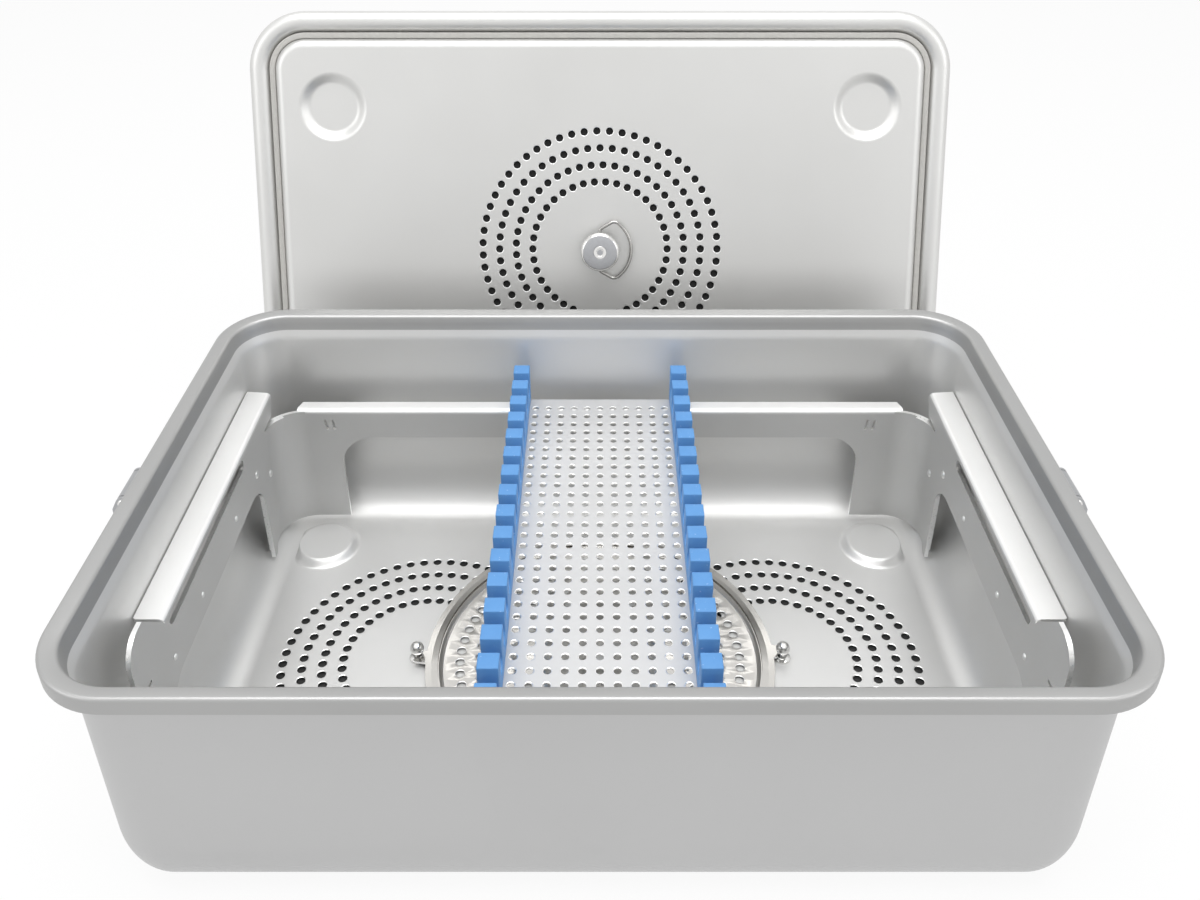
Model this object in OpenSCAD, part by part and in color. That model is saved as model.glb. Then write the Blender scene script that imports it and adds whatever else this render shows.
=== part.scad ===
// Sterilising cassette for dental instruments: a drawn pan, a sheet-metal insert that
// carries a perforated tray with two silicone combs, a filter plate held by ball studs,
// and a loose lid that stands on its long edge behind the pan.
// Units are millimetres. Z is up, the camera side is -Y, and the origin is the centre
// of the underside of the pan.

/* [Pan] */
// Width of the pan over its rolled rim
rim_w = 312; // [290:1:340]
// Depth of the pan over its rolled rim
rim_d = 208; // [196:1:230]
// Height of the pan
pan_h = 97; // [92:0.5:120]
// Plan radius of the rim's corners
rim_r = 25; // [24:0.5:32]
// Thickness of the drawn sheet
sheet = 1; // [0.8:0.1:1.2]
// Distance from the edge of the rim to the inner face of the wall
rim_inset = 8; // [7.5:0.1:9]
// Height of the turned-down lip of the rim
lip_h = 5.5; // [4:0.1:7]
// Height of the curve between wall and floor
curve_h = 24; // [18:0.5:30]
// Reach of that curve over the floor
curve_run = 16.5; // [12:0.5:16.5]

/* [Perforation] */
// Distance from the middle of each perforation field to the side wall
field_in = 80; // [76:0.5:84]
// Radius of the inner ring of holes
ring_r = 30.7; // [26:0.1:32]
// Step from ring to ring
ring_step = 7.6; // [6:0.1:8]
// Number of rings in a field
ring_count = 4; // [3:1:4]
// Holes in the inner ring
ring_holes = 38; // [30:1:38]
// Holes that each further ring adds
ring_more = 7; // [4:1:8]
// Diameter of a ring hole
ring_hole_d = 3.4; // [2.6:0.1:3.6]

/* [Stacking bosses] */
// Distance from a stacking boss to the side wall
boss_in_x = 28.7; // [28.5:0.1:34]
// Distance from a stacking boss to the front or rear wall
boss_in_y = 32; // [30:0.5:36]
// Diameter of the flat top of a boss
boss_d = 22; // [16:0.5:24]
// Diameter of the foot of a boss
boss_foot_d = 28.6; // [26:0.1:30]
// Height of a boss
boss_h = 2.6; // [1.5:0.1:3.5]

/* [Filter plate] */
// Diameter of the filter plate
plate_d = 133; // [126:0.5:134]
// Thickness of the filter plate
plate_t = 0.8; // [0.6:0.1:1]
// Width of the raised band round the filter plate
plate_band = 5.2; // [4:0.1:6]
// Height of that band over the perforated disc
plate_rise = 1.3; // [1:0.1:1.8]
// Width of the sloping step inside the band
plate_slope = 1.6; // [1:0.1:2.5]
// Diameter of the hole in the middle of the plate
plate_hole_d = 9; // [6:0.5:14]
// Distance from a ball stud to the edge of the plate
stud_out = 3.5; // [3:0.1:5]
// Diameter of the foot of a stud
stud_foot_d = 6.4; // [5:0.1:6.4]
// Height of the foot of a stud
stud_foot_h = 1.2; // [0.8:0.1:1.3]
// Diameter of the neck of a stud
stud_neck_d = 3.4; // [2.6:0.1:3.8]
// Diameter of the ball of a stud
stud_ball_d = 5.3; // [4.6:0.1:5.6]
// Height of a stud over the floor
stud_h = 8; // [7.4:0.1:10]
// Diameter of the riveted shank of a stud
stud_shank_d = 2.4; // [2:0.1:3]
// Width of the hooked ear that grips a stud
ear_w = 8; // [7:0.5:10]
// Clearance between an ear and the neck of its stud
ear_gap = 0.25; // [0.15:0.05:0.4]

/* [Insert] */
// Gap between the insert's back band and the side wall of the pan
insert_gap_x = 7.5; // [7.5:0.1:10]
// Gap between the insert and the front or rear wall of the pan
insert_gap_y = 15; // [12:0.5:17]
// Thickness of the insert's sheet
insert_t = 1.5; // [1:0.1:1.6]
// Outer radius of the insert's corners
insert_r = 16; // [12:0.5:18]
// Height of the insert's rails over the table
rail_z = 61.3; // [56:0.1:64]
// Width of the rail flange
rail_w = 6.5; // [5:0.1:8]
// Distance from the end of a rail flange to the side of the insert
rail_end = 12.5; // [11:0.5:20]
// Height of the side flange over the table
side_z = 70.5; // [67:0.1:74]
// Width of the side flange
side_flange_w = 8.5; // [6:0.1:8.5]
// Distance from the front of the insert to the front end of the side flange
flange_front_in = 32; // [29:0.5:40]
// Distance from the rear of the insert to the rear end of the side flange
flange_back_in = 1; // [0.5:0.5:5]
// Height of the side panel's upright nose in front of that flange
nose_z = 82.5; // [76:0.5:84]
// Distance from the front of the insert to the nose
nose_in = 6.6; // [5:0.1:11]
// Radius of the nose's upper corner
nose_r = 9; // [4:0.5:9]
// Height of the arched openings in the sides
arch_z = 45.5; // [38:0.5:47]
// Distance from the front of the insert to a side arch
arch_front_in = 25; // [21:0.5:30]
// Distance from the rear of the insert to a side arch
arch_back_in = 29; // [27:0.5:35]
// Corner radius of a side arch
arch_r = 12; // [8:0.5:16]
// Distance from the side of the insert to the opening in its front and back bands
gate_in = 29.5; // [26.5:0.5:40]
// Height of that opening
gate_z = 47.5; // [40:0.5:50]
// Corner radius of that opening
gate_r = 14; // [8:0.5:18]
// Distance from the front of the insert to the long slot under the side flange
slot_front_in = 35; // [34:0.5:41]
// Distance from the rear of the insert to that slot
slot_back_in = 44; // [37:0.5:51]
// Height of that slot
slot_h = 4.5; // [4.4:0.1:5]
// Distance from the top of the side flange down to that slot
slot_drop = 2; // [2:0.1:3]
// Diameter of the insert's rivets
insert_rivet_d = 2; // [1.6:0.1:2.4]

/* [Tray] */
// Half of the width of the tray between its upturned edges
tray_half = 33.25; // [32:0.25:36]
// Thickness of the tray's sheet
tray_t = 1; // [0.8:0.1:1.2]
// Height of the tray's upturned edges
tray_edge_h = 8; // [6:0.5:9]
// Height of the hooked ends of the tray
tray_hook_h = 6; // [4:0.5:8]
// Columns of holes in the tray
tray_cols = 11; // [7:1:11]
// Plain end of the tray beyond its last holes
tray_plain = 6; // [6:0.5:12]
// Step between columns
tray_col_step = 5.43; // [5:0.01:5.43]
// Step between rows
tray_row_step = 5.68; // [5.2:0.01:5.7]
// Diameter of a tray hole
tray_hole_d = 2.6; // [2:0.1:3]

/* [Combs] */
// Width of a silicone comb
comb_w = 6.5; // [5.5:0.1:7.5]
// Height of a comb over the tray
comb_h = 16.3; // [14:0.1:18]
// Number of teeth
comb_teeth = 16; // [8:1:16]
// Step from tooth to tooth
comb_step = 11.3; // [10.5:0.1:11.4]
// Width of the mouth between two teeth
comb_mouth = 5.1; // [4.8:0.1:6]
// Diameter of the round bottom of a notch
comb_eye_d = 6.2; // [6:0.1:7]
// Depth of a notch
comb_notch = 11; // [9:0.1:12]

/* [Lid] */
// Overhang of the lid over each side of the rim
lid_over_x = 1; // [0.5:0.1:3]
// Overhang of the lid over the front and the rear of the rim
lid_over_y = 2; // [0.5:0.1:3]
// Radius of the rounded bead at the lid's edge
bead_r = 4.6; // [3.5:0.1:5]
// Height of the plain lip outside the bead
lid_lip = 1.8; // [1:0.1:3]
// Width of the seal seat
seat_w = 3; // [2.6:0.1:4]
// Height of the raised panel over the seal seat
panel_rise = 6.2; // [5:0.1:8]
// Radius of the panel's rounded edge
panel_r = 4; // [3:0.1:4.5]
// Angle by which the standing lid leans back
lid_lean = 17.8; // [10:0.1:25]
// Gap between the pan's rear rim and the foot of the lid
lid_gap = 13.1; // [8:0.1:40]
// Height of the lid's seal
seal_h = 3.2; // [2:0.1:4]
// Gap between the seal and each side of its channel
seal_gap = 0.2; // [0.1:0.05:0.5]

/* [Lid knob] */
// Diameter of the knob
knob_d = 17.2; // [14:0.1:18]
// Height of the knob
knob_h = 4.6; // [4:0.1:6]
// Diameter of the collar under the knob
collar_d = 9; // [8:0.1:10]
// Height of the collar
collar_h = 6.2; // [5.5:0.1:8]
// Diameter of the bail's wire
bail_d = 1.5; // [1.2:0.1:1.8]
// Reach of the bail from the knob's axis
bail_reach = 14.2; // [13.6:0.1:18]
// Running clearance of the bail's ends in the collar
bail_gap = 0.08; // [0.05:0.01:0.1]
// Diameter of the knob's screw
screw_d = 4; // [3:0.5:4]
// Width across flats of the screw's hex socket
socket_af = 2.5; // [2:0.5:3]

/* [Latches] */
// Distance from the top of the rim down to a latch's pin
latch_drop = 13.7; // [13.7:0.1:17]
// Distance of the pin's axis from the pan's wall
latch_out = 14; // [13:0.1:16]
// Length of the latch bracket
latch_len = 14; // [10:0.5:20]
// Thickness of the latch's sheet
latch_t = 1.2; // [1:0.1:1.5]
// Diameter of the latch's pin
latch_pin_d = 3; // [2.5:0.1:3.2]
// Running clearance of the pin in the bracket
latch_pin_gap = 0.05; // [0.03:0.01:0.09]
// Height of the bracket's foot on the wall
latch_foot_h = 18; // [14:0.5:22]
// Length of the latch lever below its pin
lever_len = 20; // [18:0.5:24]
// Reach of the lever's hook
hook_len = 6; // [4:0.5:7]
// Diameter of the latch rivets
latch_rivet_d = 3; // [2.4:0.1:3.2]

/* [Hidden] */
$fn = 48;

rest_gap = 0.3;
// Gap between the two bands where both are bent
band_gap = 0.1;
through = 1;

// Inner faces of the pan
wall_x = rim_w / 2 - rim_inset;
wall_y = rim_d / 2 - rim_inset;
floor_z = sheet;
field_x = wall_x - field_in;
boss_x = wall_x - boss_in_x;
boss_y = wall_y - boss_in_y;

// The insert, from the pan's walls inwards
insert_half_w = wall_x - insert_gap_x;
insert_half_d = wall_y - insert_gap_y;
rail_half = insert_half_w - rail_end;
gate_half = insert_half_w - gate_in;
side_front = insert_half_d - flange_front_in;
side_back = insert_half_d - flange_back_in;
nose_front = insert_half_d - nose_in;
arch_front = insert_half_d - arch_front_in;
arch_back = insert_half_d - arch_back_in;
slot_front = insert_half_d - slot_front_in;
slot_back = insert_half_d - slot_back_in;

// Height of the pan's inner surface at a distance from its middle along the width
function curve_z(x) = floor_z + curve_h
    * (1 - sqrt(1 - pow(max(0, x - (wall_x - curve_run)) / curve_run, 2)));
foot_z = curve_z(insert_half_w) + rest_gap;

// The filter plate's studs and two levels
stud_x = plate_d / 2 + stud_out;
plate_z = floor_z + rest_gap;
band_z = plate_z + plate_rise;

// The tray and the combs on it
tray_z = rail_z + 0.1;
tray_top = tray_z + tray_t;
tray_end = insert_half_d - insert_t + rail_w + rest_gap + tray_t;
tray_rows = 2 * floor((tray_end - tray_plain) / tray_row_step) + 1;
comb_mid = tray_half - tray_t / 2;
comb_top = tray_top + comb_h;
comb_len = (comb_teeth - 1) * comb_step + (comb_step - comb_mouth);

// The lid in its own frame: Z points out of its inner face, Y up its slope
lid_w = rim_w + 2 * lid_over_x;
lid_d = rim_d + 2 * lid_over_y;
lid_r = rim_r + lid_over_x;
seat_z = -bead_r / 4;
bead_in = 2 * bead_r;
panel_in = bead_in + seat_w;
panel_z = seat_z + panel_rise;
lid_back = seat_z - lid_lip;
lid_z = lid_d / 2 * cos(lid_lean) - lid_back * sin(lid_lean);
lid_y = rim_d / 2 + lid_gap + (bead_r + seat_z) * cos(lid_lean) + lid_d / 2 * sin(lid_lean);
collar_z = panel_z;
knob_z = collar_z + collar_h;
bail_z = collar_z + collar_h / 2;
bail_grip = 1.6;

// The latches
latch_z = pan_h - latch_drop;
side_x = wall_x + sheet;
pin_x = side_x + latch_out;
knuckle_r = latch_pin_d / 2 + latch_pin_gap + latch_t;
lever_x = knuckle_r + rest_gap;
ear_y = latch_len / 2 + rest_gap;

steel = [0.78, 0.78, 0.77];
white_steel = [0.9, 0.9, 0.9];
warm_steel = [0.72, 0.7, 0.66];
chrome = [0.8, 0.8, 0.8];
blue = [0.28, 0.52, 0.8];
seal_grey = [0.62, 0.61, 0.58];

function arc(cx, cy, r, a0, a1, n) =
    [for (k = [0:n]) [cx + r * cos(a0 + (a1 - a0) * k / n), cy + r * sin(a0 + (a1 - a0) * k / n)]];
function unit(v) = v / norm(v);
function left_of(a, b) = let (u = unit(b - a)) [-u[1], u[0]];
// A path moved to its left by t, with mitred corners
function moved(p, t) = [for (i = [0:len(p) - 1])
    let (
        last = len(p) - 1,
        n1 = i > 0 ? left_of(p[i - 1], p[i]) : left_of(p[0], p[1]),
        n2 = i < last ? left_of(p[i], p[i + 1]) : left_of(p[last - 1], p[last])
    )
    p[i] + t * (n1 + n2) / (1 + n1 * n2)];
function reversed(p) = [for (i = [len(p) - 1:-1:0]) p[i]];

// A sheet profile from its visible line. Points are [distance from the rim, height]
function sheet_profile(line, t) =
    let (seen = [for (p = line) [-p[0], p[1]]])
    concat(seen, reversed(moved(seen, t)));

module rounded(w, d, r) {
    square([w - 2 * r, d], center = true);
    square([w, d - 2 * r], center = true);
    for (x = [-1, 1], y = [-1, 1])
        translate([x * (w / 2 - r), y * (d / 2 - r)]) circle(r);
}

// A profile carried round a rounded rectangle
module carried(w, d, r, profile) {
    for (k = [0:3])
        translate([(k == 0 || k == 3 ? 1 : -1) * (w / 2 - r), (k < 2 ? 1 : -1) * (d / 2 - r), 0])
            rotate([0, 0, 90 * k])
                rotate_extrude(angle = 90)
                    polygon([for (p = profile) [r + p[0], p[1]]]);
    for (s = [0, 1]) {
        mirror([s, 0, 0])
            rotate([90, 0, 0])
                linear_extrude(d - 2 * r, center = true)
                    polygon([for (p = profile) [w / 2 + p[0], p[1]]]);
        mirror([0, s, 0])
            rotate([90, 0, 90])
                linear_extrude(w - 2 * r, center = true)
                    polygon([for (p = profile) [d / 2 + p[0], p[1]]]);
    }
}

module ring_field() {
    for (i = [0:ring_count - 1]) {
        n = ring_holes + i * ring_more;
        for (k = [0:n - 1])
            rotate([0, 0, 360 * k / n])
                translate([ring_r + i * ring_step, 0]) circle(d = ring_hole_d, $fn = 16);
    }
}

module at_bosses() {
    for (x = [-1, 1], y = [-1, 1])
        translate([x * boss_x, y * boss_y, 0]) children();
}

// One side's piece and its mirror image on the left
module sided(left) {
    mirror([left ? 1 : 0, 0, 0]) children();
}

// Visible line of the pan, from the lip over the rim and down the wall to the floor
rim_line = concat(
    [[0, pan_h - lip_h]],
    [for (p = arc(1.2, pan_h - 1.2, 1.2, 180, 90, 3)) p],
    [[4.2, pan_h - 0.6]],
    arc(4.2, pan_h - 2.2, 1.6, 80, 20, 2),
    [[6.1, pan_h - 4.2], [6.8, pan_h - 6.6], [rim_inset - 0.5, pan_h - 9], [rim_inset, pan_h - 10.9]]);
wall_line = concat(
    [for (k = [0:8]) [rim_inset + curve_run * (1 - cos(90 * k / 8)),
        floor_z + curve_h * (1 - sin(90 * k / 8))]],
    [[rim_inset + curve_run + 0.3, floor_z]]);

module body_pan() color(steel) difference() {
    union() {
        carried(rim_w, rim_d, rim_r, sheet_profile(concat(rim_line, wall_line), sheet));
        linear_extrude(sheet)
            rounded(rim_w - 2 * (rim_inset + curve_run), rim_d - 2 * (rim_inset + curve_run),
                rim_r - rim_inset - curve_run);
        at_bosses() cylinder(d1 = boss_foot_d, d2 = boss_d, h = boss_h + sheet);
    }
    translate([0, 0, -through])
        linear_extrude(sheet + 2 * through) {
            for (x = [-1, 1]) {
                translate([x * field_x, 0]) ring_field();
                translate([x * stud_x, 0]) circle(d = stud_shank_d);
            }
        }
    at_bosses() translate([0, 0, -through])
        cylinder(d1 = boss_foot_d - sheet, d2 = boss_d - 2 * sheet, h = boss_h + through);
    for (s = [true, false]) sided(s) latch_rivet_holes();
}

// Ball stud that an ear of the filter plate hooks under
module filter_stud(left) color(chrome) sided(left) translate([stud_x, 0, 0]) {
    cylinder(d = stud_shank_d, h = floor_z);
    translate([0, 0, floor_z]) {
        cylinder(d = stud_foot_d, h = stud_foot_h);
        cylinder(d = stud_neck_d, h = stud_h - stud_ball_d / 2);
        translate([0, 0, stud_h - stud_ball_d / 2]) sphere(d = stud_ball_d);
    }
}

module filter_stud_left() filter_stud(true);
module filter_stud_right() filter_stud(false);

// Hooked ear of the filter plate. Its mouth faces the way the stud leaves it
module filter_ear() difference() {
    translate([plate_d / 2 - 1, -ear_w / 4])
        square([stud_x + stud_neck_d / 2 + 2 - plate_d / 2 + 1, ear_w]);
    translate([stud_x, 0]) {
        circle(d = stud_neck_d + 2 * ear_gap);
        translate([-stud_neck_d / 2 - ear_gap, -ear_w])
            square([stud_neck_d + 2 * ear_gap, ear_w]);
    }
}

module filter_plate() color(warm_steel) {
    disc_r = plate_d / 2 - plate_band - plate_slope;
    line = [[plate_d / 2, band_z], [plate_d / 2 - plate_band, band_z], [disc_r, plate_z],
        [disc_r - 0.5, plate_z]];
    rotate_extrude()
        polygon(concat([for (p = line) [p[0], p[1] + plate_t]], reversed(line)));
    translate([0, 0, plate_z]) linear_extrude(plate_t) difference() {
        circle(disc_r, $fn = 96);
        ring_field();
        circle(d = plate_hole_d);
    }
    translate([0, 0, band_z]) linear_extrude(plate_t)
        for (a = [0, 180]) rotate([0, 0, a]) filter_ear();
}

// Opening that runs out at the foot of a panel and has rounded upper corners
module foot_opening(y0, y1, top, r) {
    translate([(y0 + y1) / 2, top / 2 - r]) rounded(y1 - y0, top + 2 * r, r);
}

// Gate and slits that the front and back bands share, in the X-Z plane
module gate_cut() {
    foot_opening(-gate_half, gate_half, gate_z, gate_r);
    for (x = [-1, 1], k = [0, 1])
        translate([x * (gate_half + 2.2 + 3 * k), gate_z + 6.5])
            rotate([0, 0, x * 8]) square([1, 5], center = true);
}

// Outward rail along the top of a band, on the back
module back_rail() {
    translate([-rail_half, insert_half_d - insert_t, rail_z - insert_t])
        cube([2 * rail_half, rail_w, insert_t]);
}

// Bent wall with a gate, from the foot up into the sheet of the rail. Its sides start at y
module bent_wall(half, y) difference() {
    translate([0, 0, foot_z]) linear_extrude(rail_z - insert_t / 2 - foot_z) difference() {
        rounded(2 * half, 2 * insert_half_d, insert_r);
        rounded(2 * (half - insert_t), 2 * (insert_half_d - insert_t), insert_r - insert_t);
        translate([-rim_w / 2, -rim_d / 2]) square([rim_w, rim_d / 2 + y]);
    }
    rotate([-90, 0, 0]) mirror([0, 1, 0]) linear_extrude(rim_d) gate_cut();
}

// Places of the rivets that join the two bands, as [y, z], and of the dimples in the sides
rivet_places = [[insert_half_d - 33, 52], [insert_half_d - insert_r - 0.9 * insert_rivet_d, 41]];
dimple_places = [33 - insert_half_d, 61 - insert_half_d, insert_half_d - 61];

module at_insert_rivets(x) {
    for (p = rivet_places)
        translate([x, p[0], p[1]]) rotate([0, 90, 0]) children();
}

// Rear band: a bent wall, a rail along its top and a tongue at each end
module insert_back_band() color(steel) difference() {
    union() {
        bent_wall(insert_half_w, rivet_places[0][0] - 4);
        back_rail();
    }
    rotate([90, 0, 90]) linear_extrude(rim_w, center = true)
        square([arch_back + 2.5, arch_z + 1]);
    for (s = [true, false]) sided(s)
        at_insert_rivets(insert_half_w - insert_t - through)
            cylinder(d = insert_rivet_d, h = insert_t + 2 * through);
}

// Side panel of the front band in the Y-Z plane. Its nose stands up in front of the flange
module side_outline() {
    straight = insert_half_d - insert_r;
    above_rail = rail_z + rest_gap;
    difference() {
        polygon(concat([[-straight, foot_z], [-straight, above_rail], [-nose_front, above_rail]],
            arc(-nose_front + nose_r, nose_z - nose_r, nose_r, 180, 90, 8),
            [[-side_front - 13, nose_z], [-side_front - 1, side_z], [side_back, side_z],
            [side_back - 4.5, rail_z + rest_gap / 2], [side_back - 8.5, 34], [side_back - 8.5, 27],
            [arch_back + 2.7, foot_z]]));
        foot_opening(-arch_front, arch_back, arch_z, arch_r);
        translate([-slot_front + slot_h / 2, side_z - slot_drop - slot_h])
            square([slot_front + slot_back - slot_h, slot_h]);
        for (y = [-slot_front + slot_h / 2, slot_back - slot_h / 2])
            translate([y, side_z - slot_drop - slot_h / 2]) circle(d = slot_h);
    }
}

// Side panel, flat but for its rear edge, which follows the inside of the back band's corner
module side_sheet() {
    straight = insert_half_d - insert_r;
    translate([insert_half_w - 2 * insert_t, 0, 0]) rotate([90, 0, 90])
        linear_extrude(insert_t) intersection() {
            side_outline();
            union() {
                translate([-insert_half_d, 0]) square([insert_half_d + straight, pan_h]);
                translate([0, rail_z + rest_gap]) square([insert_half_d, pan_h - rail_z]);
            }
        }
    intersection() {
        translate([insert_half_w - insert_r, straight, foot_z])
            rotate_extrude(angle = 60)
                translate([insert_r - 2 * insert_t - band_gap, 0])
                    square([insert_t, rail_z - insert_t / 2 - foot_z]);
        translate([insert_half_w - insert_r, 0, 0]) rotate([90, 0, 90])
            linear_extrude(insert_r) side_outline();
    }
}

// Front band: front wall and both sides in one sheet, with outward flanges
module insert_front_band() color(steel) {
    half = insert_half_w - insert_t;
    difference() {
        union() {
            mirror([0, 1, 0]) {
                bent_wall(half, insert_half_d - insert_r);
                back_rail();
            }
            for (s = [true, false]) sided(s) {
                side_sheet();
                translate([half - insert_t, -side_front, side_z - insert_t])
                    cube([insert_t + side_flange_w, side_front + side_back, insert_t]);
                for (y = dimple_places)
                    translate([half - insert_t, y, rivet_places[0][1] + 1]) rotate([0, -90, 0])
                        cylinder(d1 = 3, d2 = 1.4, h = 0.6);
            }
        }
        for (s = [true, false]) sided(s)
            at_insert_rivets(half - insert_t - through)
                cylinder(d = insert_rivet_d, h = insert_t + 2 * through);
    }
}

// Domed rivets that hold the two bands together
module insert_rivets() color(white_steel)
    for (s = [true, false]) sided(s)
        at_insert_rivets(insert_half_w - 2 * insert_t) {
            cylinder(d = insert_rivet_d, h = 2 * insert_t);
            mirror([0, 0, 1]) cylinder(d1 = 1.6 * insert_rivet_d, d2 = 0.8 * insert_rivet_d, h = 0.7);
            translate([0, 0, 2 * insert_t]) cylinder(d = 1.5 * insert_rivet_d, h = 0.5);
        }

module rack_tray() color(white_steel) {
    difference() {
        translate([-tray_half, -tray_end, tray_z]) cube([2 * tray_half, 2 * tray_end, tray_t]);
        translate([0, 0, tray_z - through]) linear_extrude(tray_t + 2 * through)
            for (i = [0:tray_cols - 1], j = [0:tray_rows - 1])
                translate([(i - (tray_cols - 1) / 2) * tray_col_step,
                    (j - (tray_rows - 1) / 2) * tray_row_step]) circle(d = tray_hole_d, $fn = 16);
    }
    for (s = [true, false]) sided(s)
        translate([tray_half - tray_t, -tray_end, tray_z])
            cube([tray_t, 2 * tray_end, tray_t + tray_edge_h]);
    for (s = [0, 1]) mirror([0, s, 0])
        translate([-tray_half, tray_end - tray_t, tray_top - tray_hook_h])
            cube([2 * tray_half, tray_t, tray_hook_h]);
}

// Silicone comb pushed over an upturned edge of the tray
module comb(left) color(blue) sided(left) difference() {
    translate([comb_mid - comb_w / 2, 0, 0]) rotate([90, 0, 90])
        linear_extrude(comb_w) difference() {
            translate([-comb_len / 2, tray_top]) square([comb_len, comb_h]);
            for (k = [1:comb_teeth - 1])
                translate([(k - comb_teeth / 2) * comb_step, comb_top - comb_notch + comb_eye_d / 2]) {
                    circle(d = comb_eye_d);
                    translate([-comb_mouth / 2, 0]) square([comb_mouth, comb_notch]);
                }
        }
    translate([tray_half - tray_t, -comb_len / 2 - through, tray_top - through])
        cube([tray_t, comb_len + 2 * through, tray_edge_h + through]);
}

module rack_left() comb(true);
module rack_right() comb(false);

// Places a piece of the lid: its own frame leans back behind the pan
module on_lid() {
    translate([0, lid_y, lid_z]) rotate([90 - lid_lean, 0, 0]) children();
}

lid_line = concat(
    [[0, lid_back]],
    [for (p = arc(bead_r, seat_z, bead_r, 180, 0, 10)) p],
    [[panel_in, seat_z]],
    arc(panel_in + panel_r, panel_z - panel_r, panel_r, 180, 90, 5),
    [[panel_in + panel_r + 0.3, panel_z]]);

module lid_shell() color(steel) on_lid() difference() {
    union() {
        carried(lid_w, lid_d, lid_r, sheet_profile(lid_line, sheet));
        translate([0, 0, panel_z - sheet]) linear_extrude(sheet)
            rounded(lid_w - 2 * (panel_in + panel_r), lid_d - 2 * (panel_in + panel_r),
                lid_r - panel_in - panel_r);
        at_bosses() translate([0, 0, panel_z - boss_h - sheet])
            cylinder(d1 = boss_d, d2 = boss_foot_d, h = boss_h + sheet);
    }
    translate([0, 0, panel_z - sheet - through]) linear_extrude(sheet + 2 * through) {
        ring_field();
        circle(d = screw_d);
    }
    at_bosses() translate([0, 0, panel_z - boss_h])
        cylinder(d1 = boss_d - sheet, d2 = boss_foot_d, h = boss_h + 0.01);
}

// Seal that lies in the channel between the bead and the raised panel
module lid_seal() color(seal_grey) on_lid() {
    outer = bead_in + seal_gap;
    inner = panel_in - seal_gap;
    profile = [[-outer, seat_z], [-outer, seat_z + seal_h], [-inner, seat_z + seal_h], [-inner, seat_z]];
    carried(lid_w, lid_d, lid_r, profile);
}

module lid_knob() color(steel) on_lid() translate([0, 0, knob_z]) difference() {
    union() {
        cylinder(d1 = knob_d - 1, d2 = knob_d, h = 0.5);
        translate([0, 0, 0.5]) cylinder(d = knob_d, h = knob_h - 1.5);
        translate([0, 0, knob_h - 1]) cylinder(d1 = knob_d, d2 = knob_d - 2, h = 1);
    }
    translate([0, 0, -through]) cylinder(d = screw_d, h = knob_h + 2 * through);
    translate([0, 0, knob_h - 1]) cylinder(d1 = screw_d, d2 = screw_d + 2, h = 1.001);
}

module lid_knob_collar() color(chrome) on_lid() translate([0, 0, collar_z]) difference() {
    cylinder(d = collar_d, h = collar_h);
    translate([0, 0, -through]) cylinder(d = screw_d, h = collar_h + 2 * through);
    for (s = [0, 1]) mirror([0, s, 0])
        translate([0, collar_d / 2 - bail_grip - 0.2, collar_h / 2]) rotate([-90, 0, 0])
            cylinder(d = bail_d + 2 * bail_gap, h = collar_d);
}

module lid_knob_screw() color(chrome) on_lid() {
    top = knob_z + knob_h - 0.1;
    difference() {
        union() {
            translate([0, 0, panel_z - sheet - 4]) cylinder(d = screw_d, h = top - panel_z + sheet + 4);
            translate([0, 0, top - 0.9]) cylinder(d1 = screw_d, d2 = screw_d + 1.8, h = 0.9);
        }
        translate([0, 0, top - 2]) cylinder(d = socket_af / cos(30), h = 2 + through, $fn = 6);
    }
}

module lid_nut() color(chrome) on_lid() translate([0, 0, panel_z - sheet - 3.2]) difference() {
    union() {
        cylinder(d = 7.7, h = 3.2, $fn = 6);
        translate([0, 0, 2.4]) cylinder(d = 10, h = 0.8);
    }
    translate([0, 0, -through]) cylinder(d = screw_d, h = 3.2 + 2 * through);
}

// Centre line of the bail: a wide arc, two corners and two straights to the knob's axis
bail_half_a = 52;
bail_corner_r = 3;
bail_shift = 1.3;
bail_turn = 68;
bail_arc_r = bail_reach + bail_shift;
bail_corner = (bail_arc_r - bail_corner_r) * [cos(bail_half_a), sin(bail_half_a)] - [bail_shift, 0];
bail_side = arc(bail_corner[0], bail_corner[1], bail_corner_r, bail_half_a, bail_half_a + bail_turn, 4);
bail_exit = bail_side[4];
bail_end_y = bail_exit[1] + bail_exit[0] / tan(bail_half_a + bail_turn);
bail_upper = concat(bail_side, [[0, bail_end_y]]);
bail_line = concat(
    reversed([for (p = bail_upper) [p[0], -p[1]]]),
    [for (p = arc(-bail_shift, 0, bail_arc_r, -bail_half_a, bail_half_a, 12)) if (abs(p[1]) < bail_side[0][1] - 0.1) p],
    bail_upper);

// A round tube along a flat line
module tube(line, d, sides) {
    n = len(line);
    rings = [for (k = [0:sides - 1]) moved(line, d / 2 * cos(360 * k / sides))];
    points = [for (i = [0:n - 1], k = [0:sides - 1])
        [rings[k][i][0], rings[k][i][1], d / 2 * sin(360 * k / sides)]];
    walls = [for (i = [0:n - 2], k = [0:sides - 1])
        let (a = i * sides + k, b = i * sides + (k + 1) % sides)
        each [[a, a + sides, b], [b, a + sides, b + sides]]];
    caps = [reversed([for (k = [0:sides - 1]) k]), [for (k = [0:sides - 1]) (n - 1) * sides + k]];
    polyhedron(points, concat(walls, [for (c = caps) reversed(c)]));
}

// D-shaped wire loop that swings about the collar
module lid_bail() color(chrome) on_lid() translate([0, 0, bail_z]) {
    tube(bail_line, bail_d - 0.04, 10);
    for (s = [0, 1]) mirror([0, s, 0])
        translate([0, collar_d / 2 - bail_grip, 0]) rotate([-90, 0, 0])
            cylinder(d = bail_d, h = bail_end_y + bail_d / 2 - collar_d / 2 + bail_grip);
}

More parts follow.
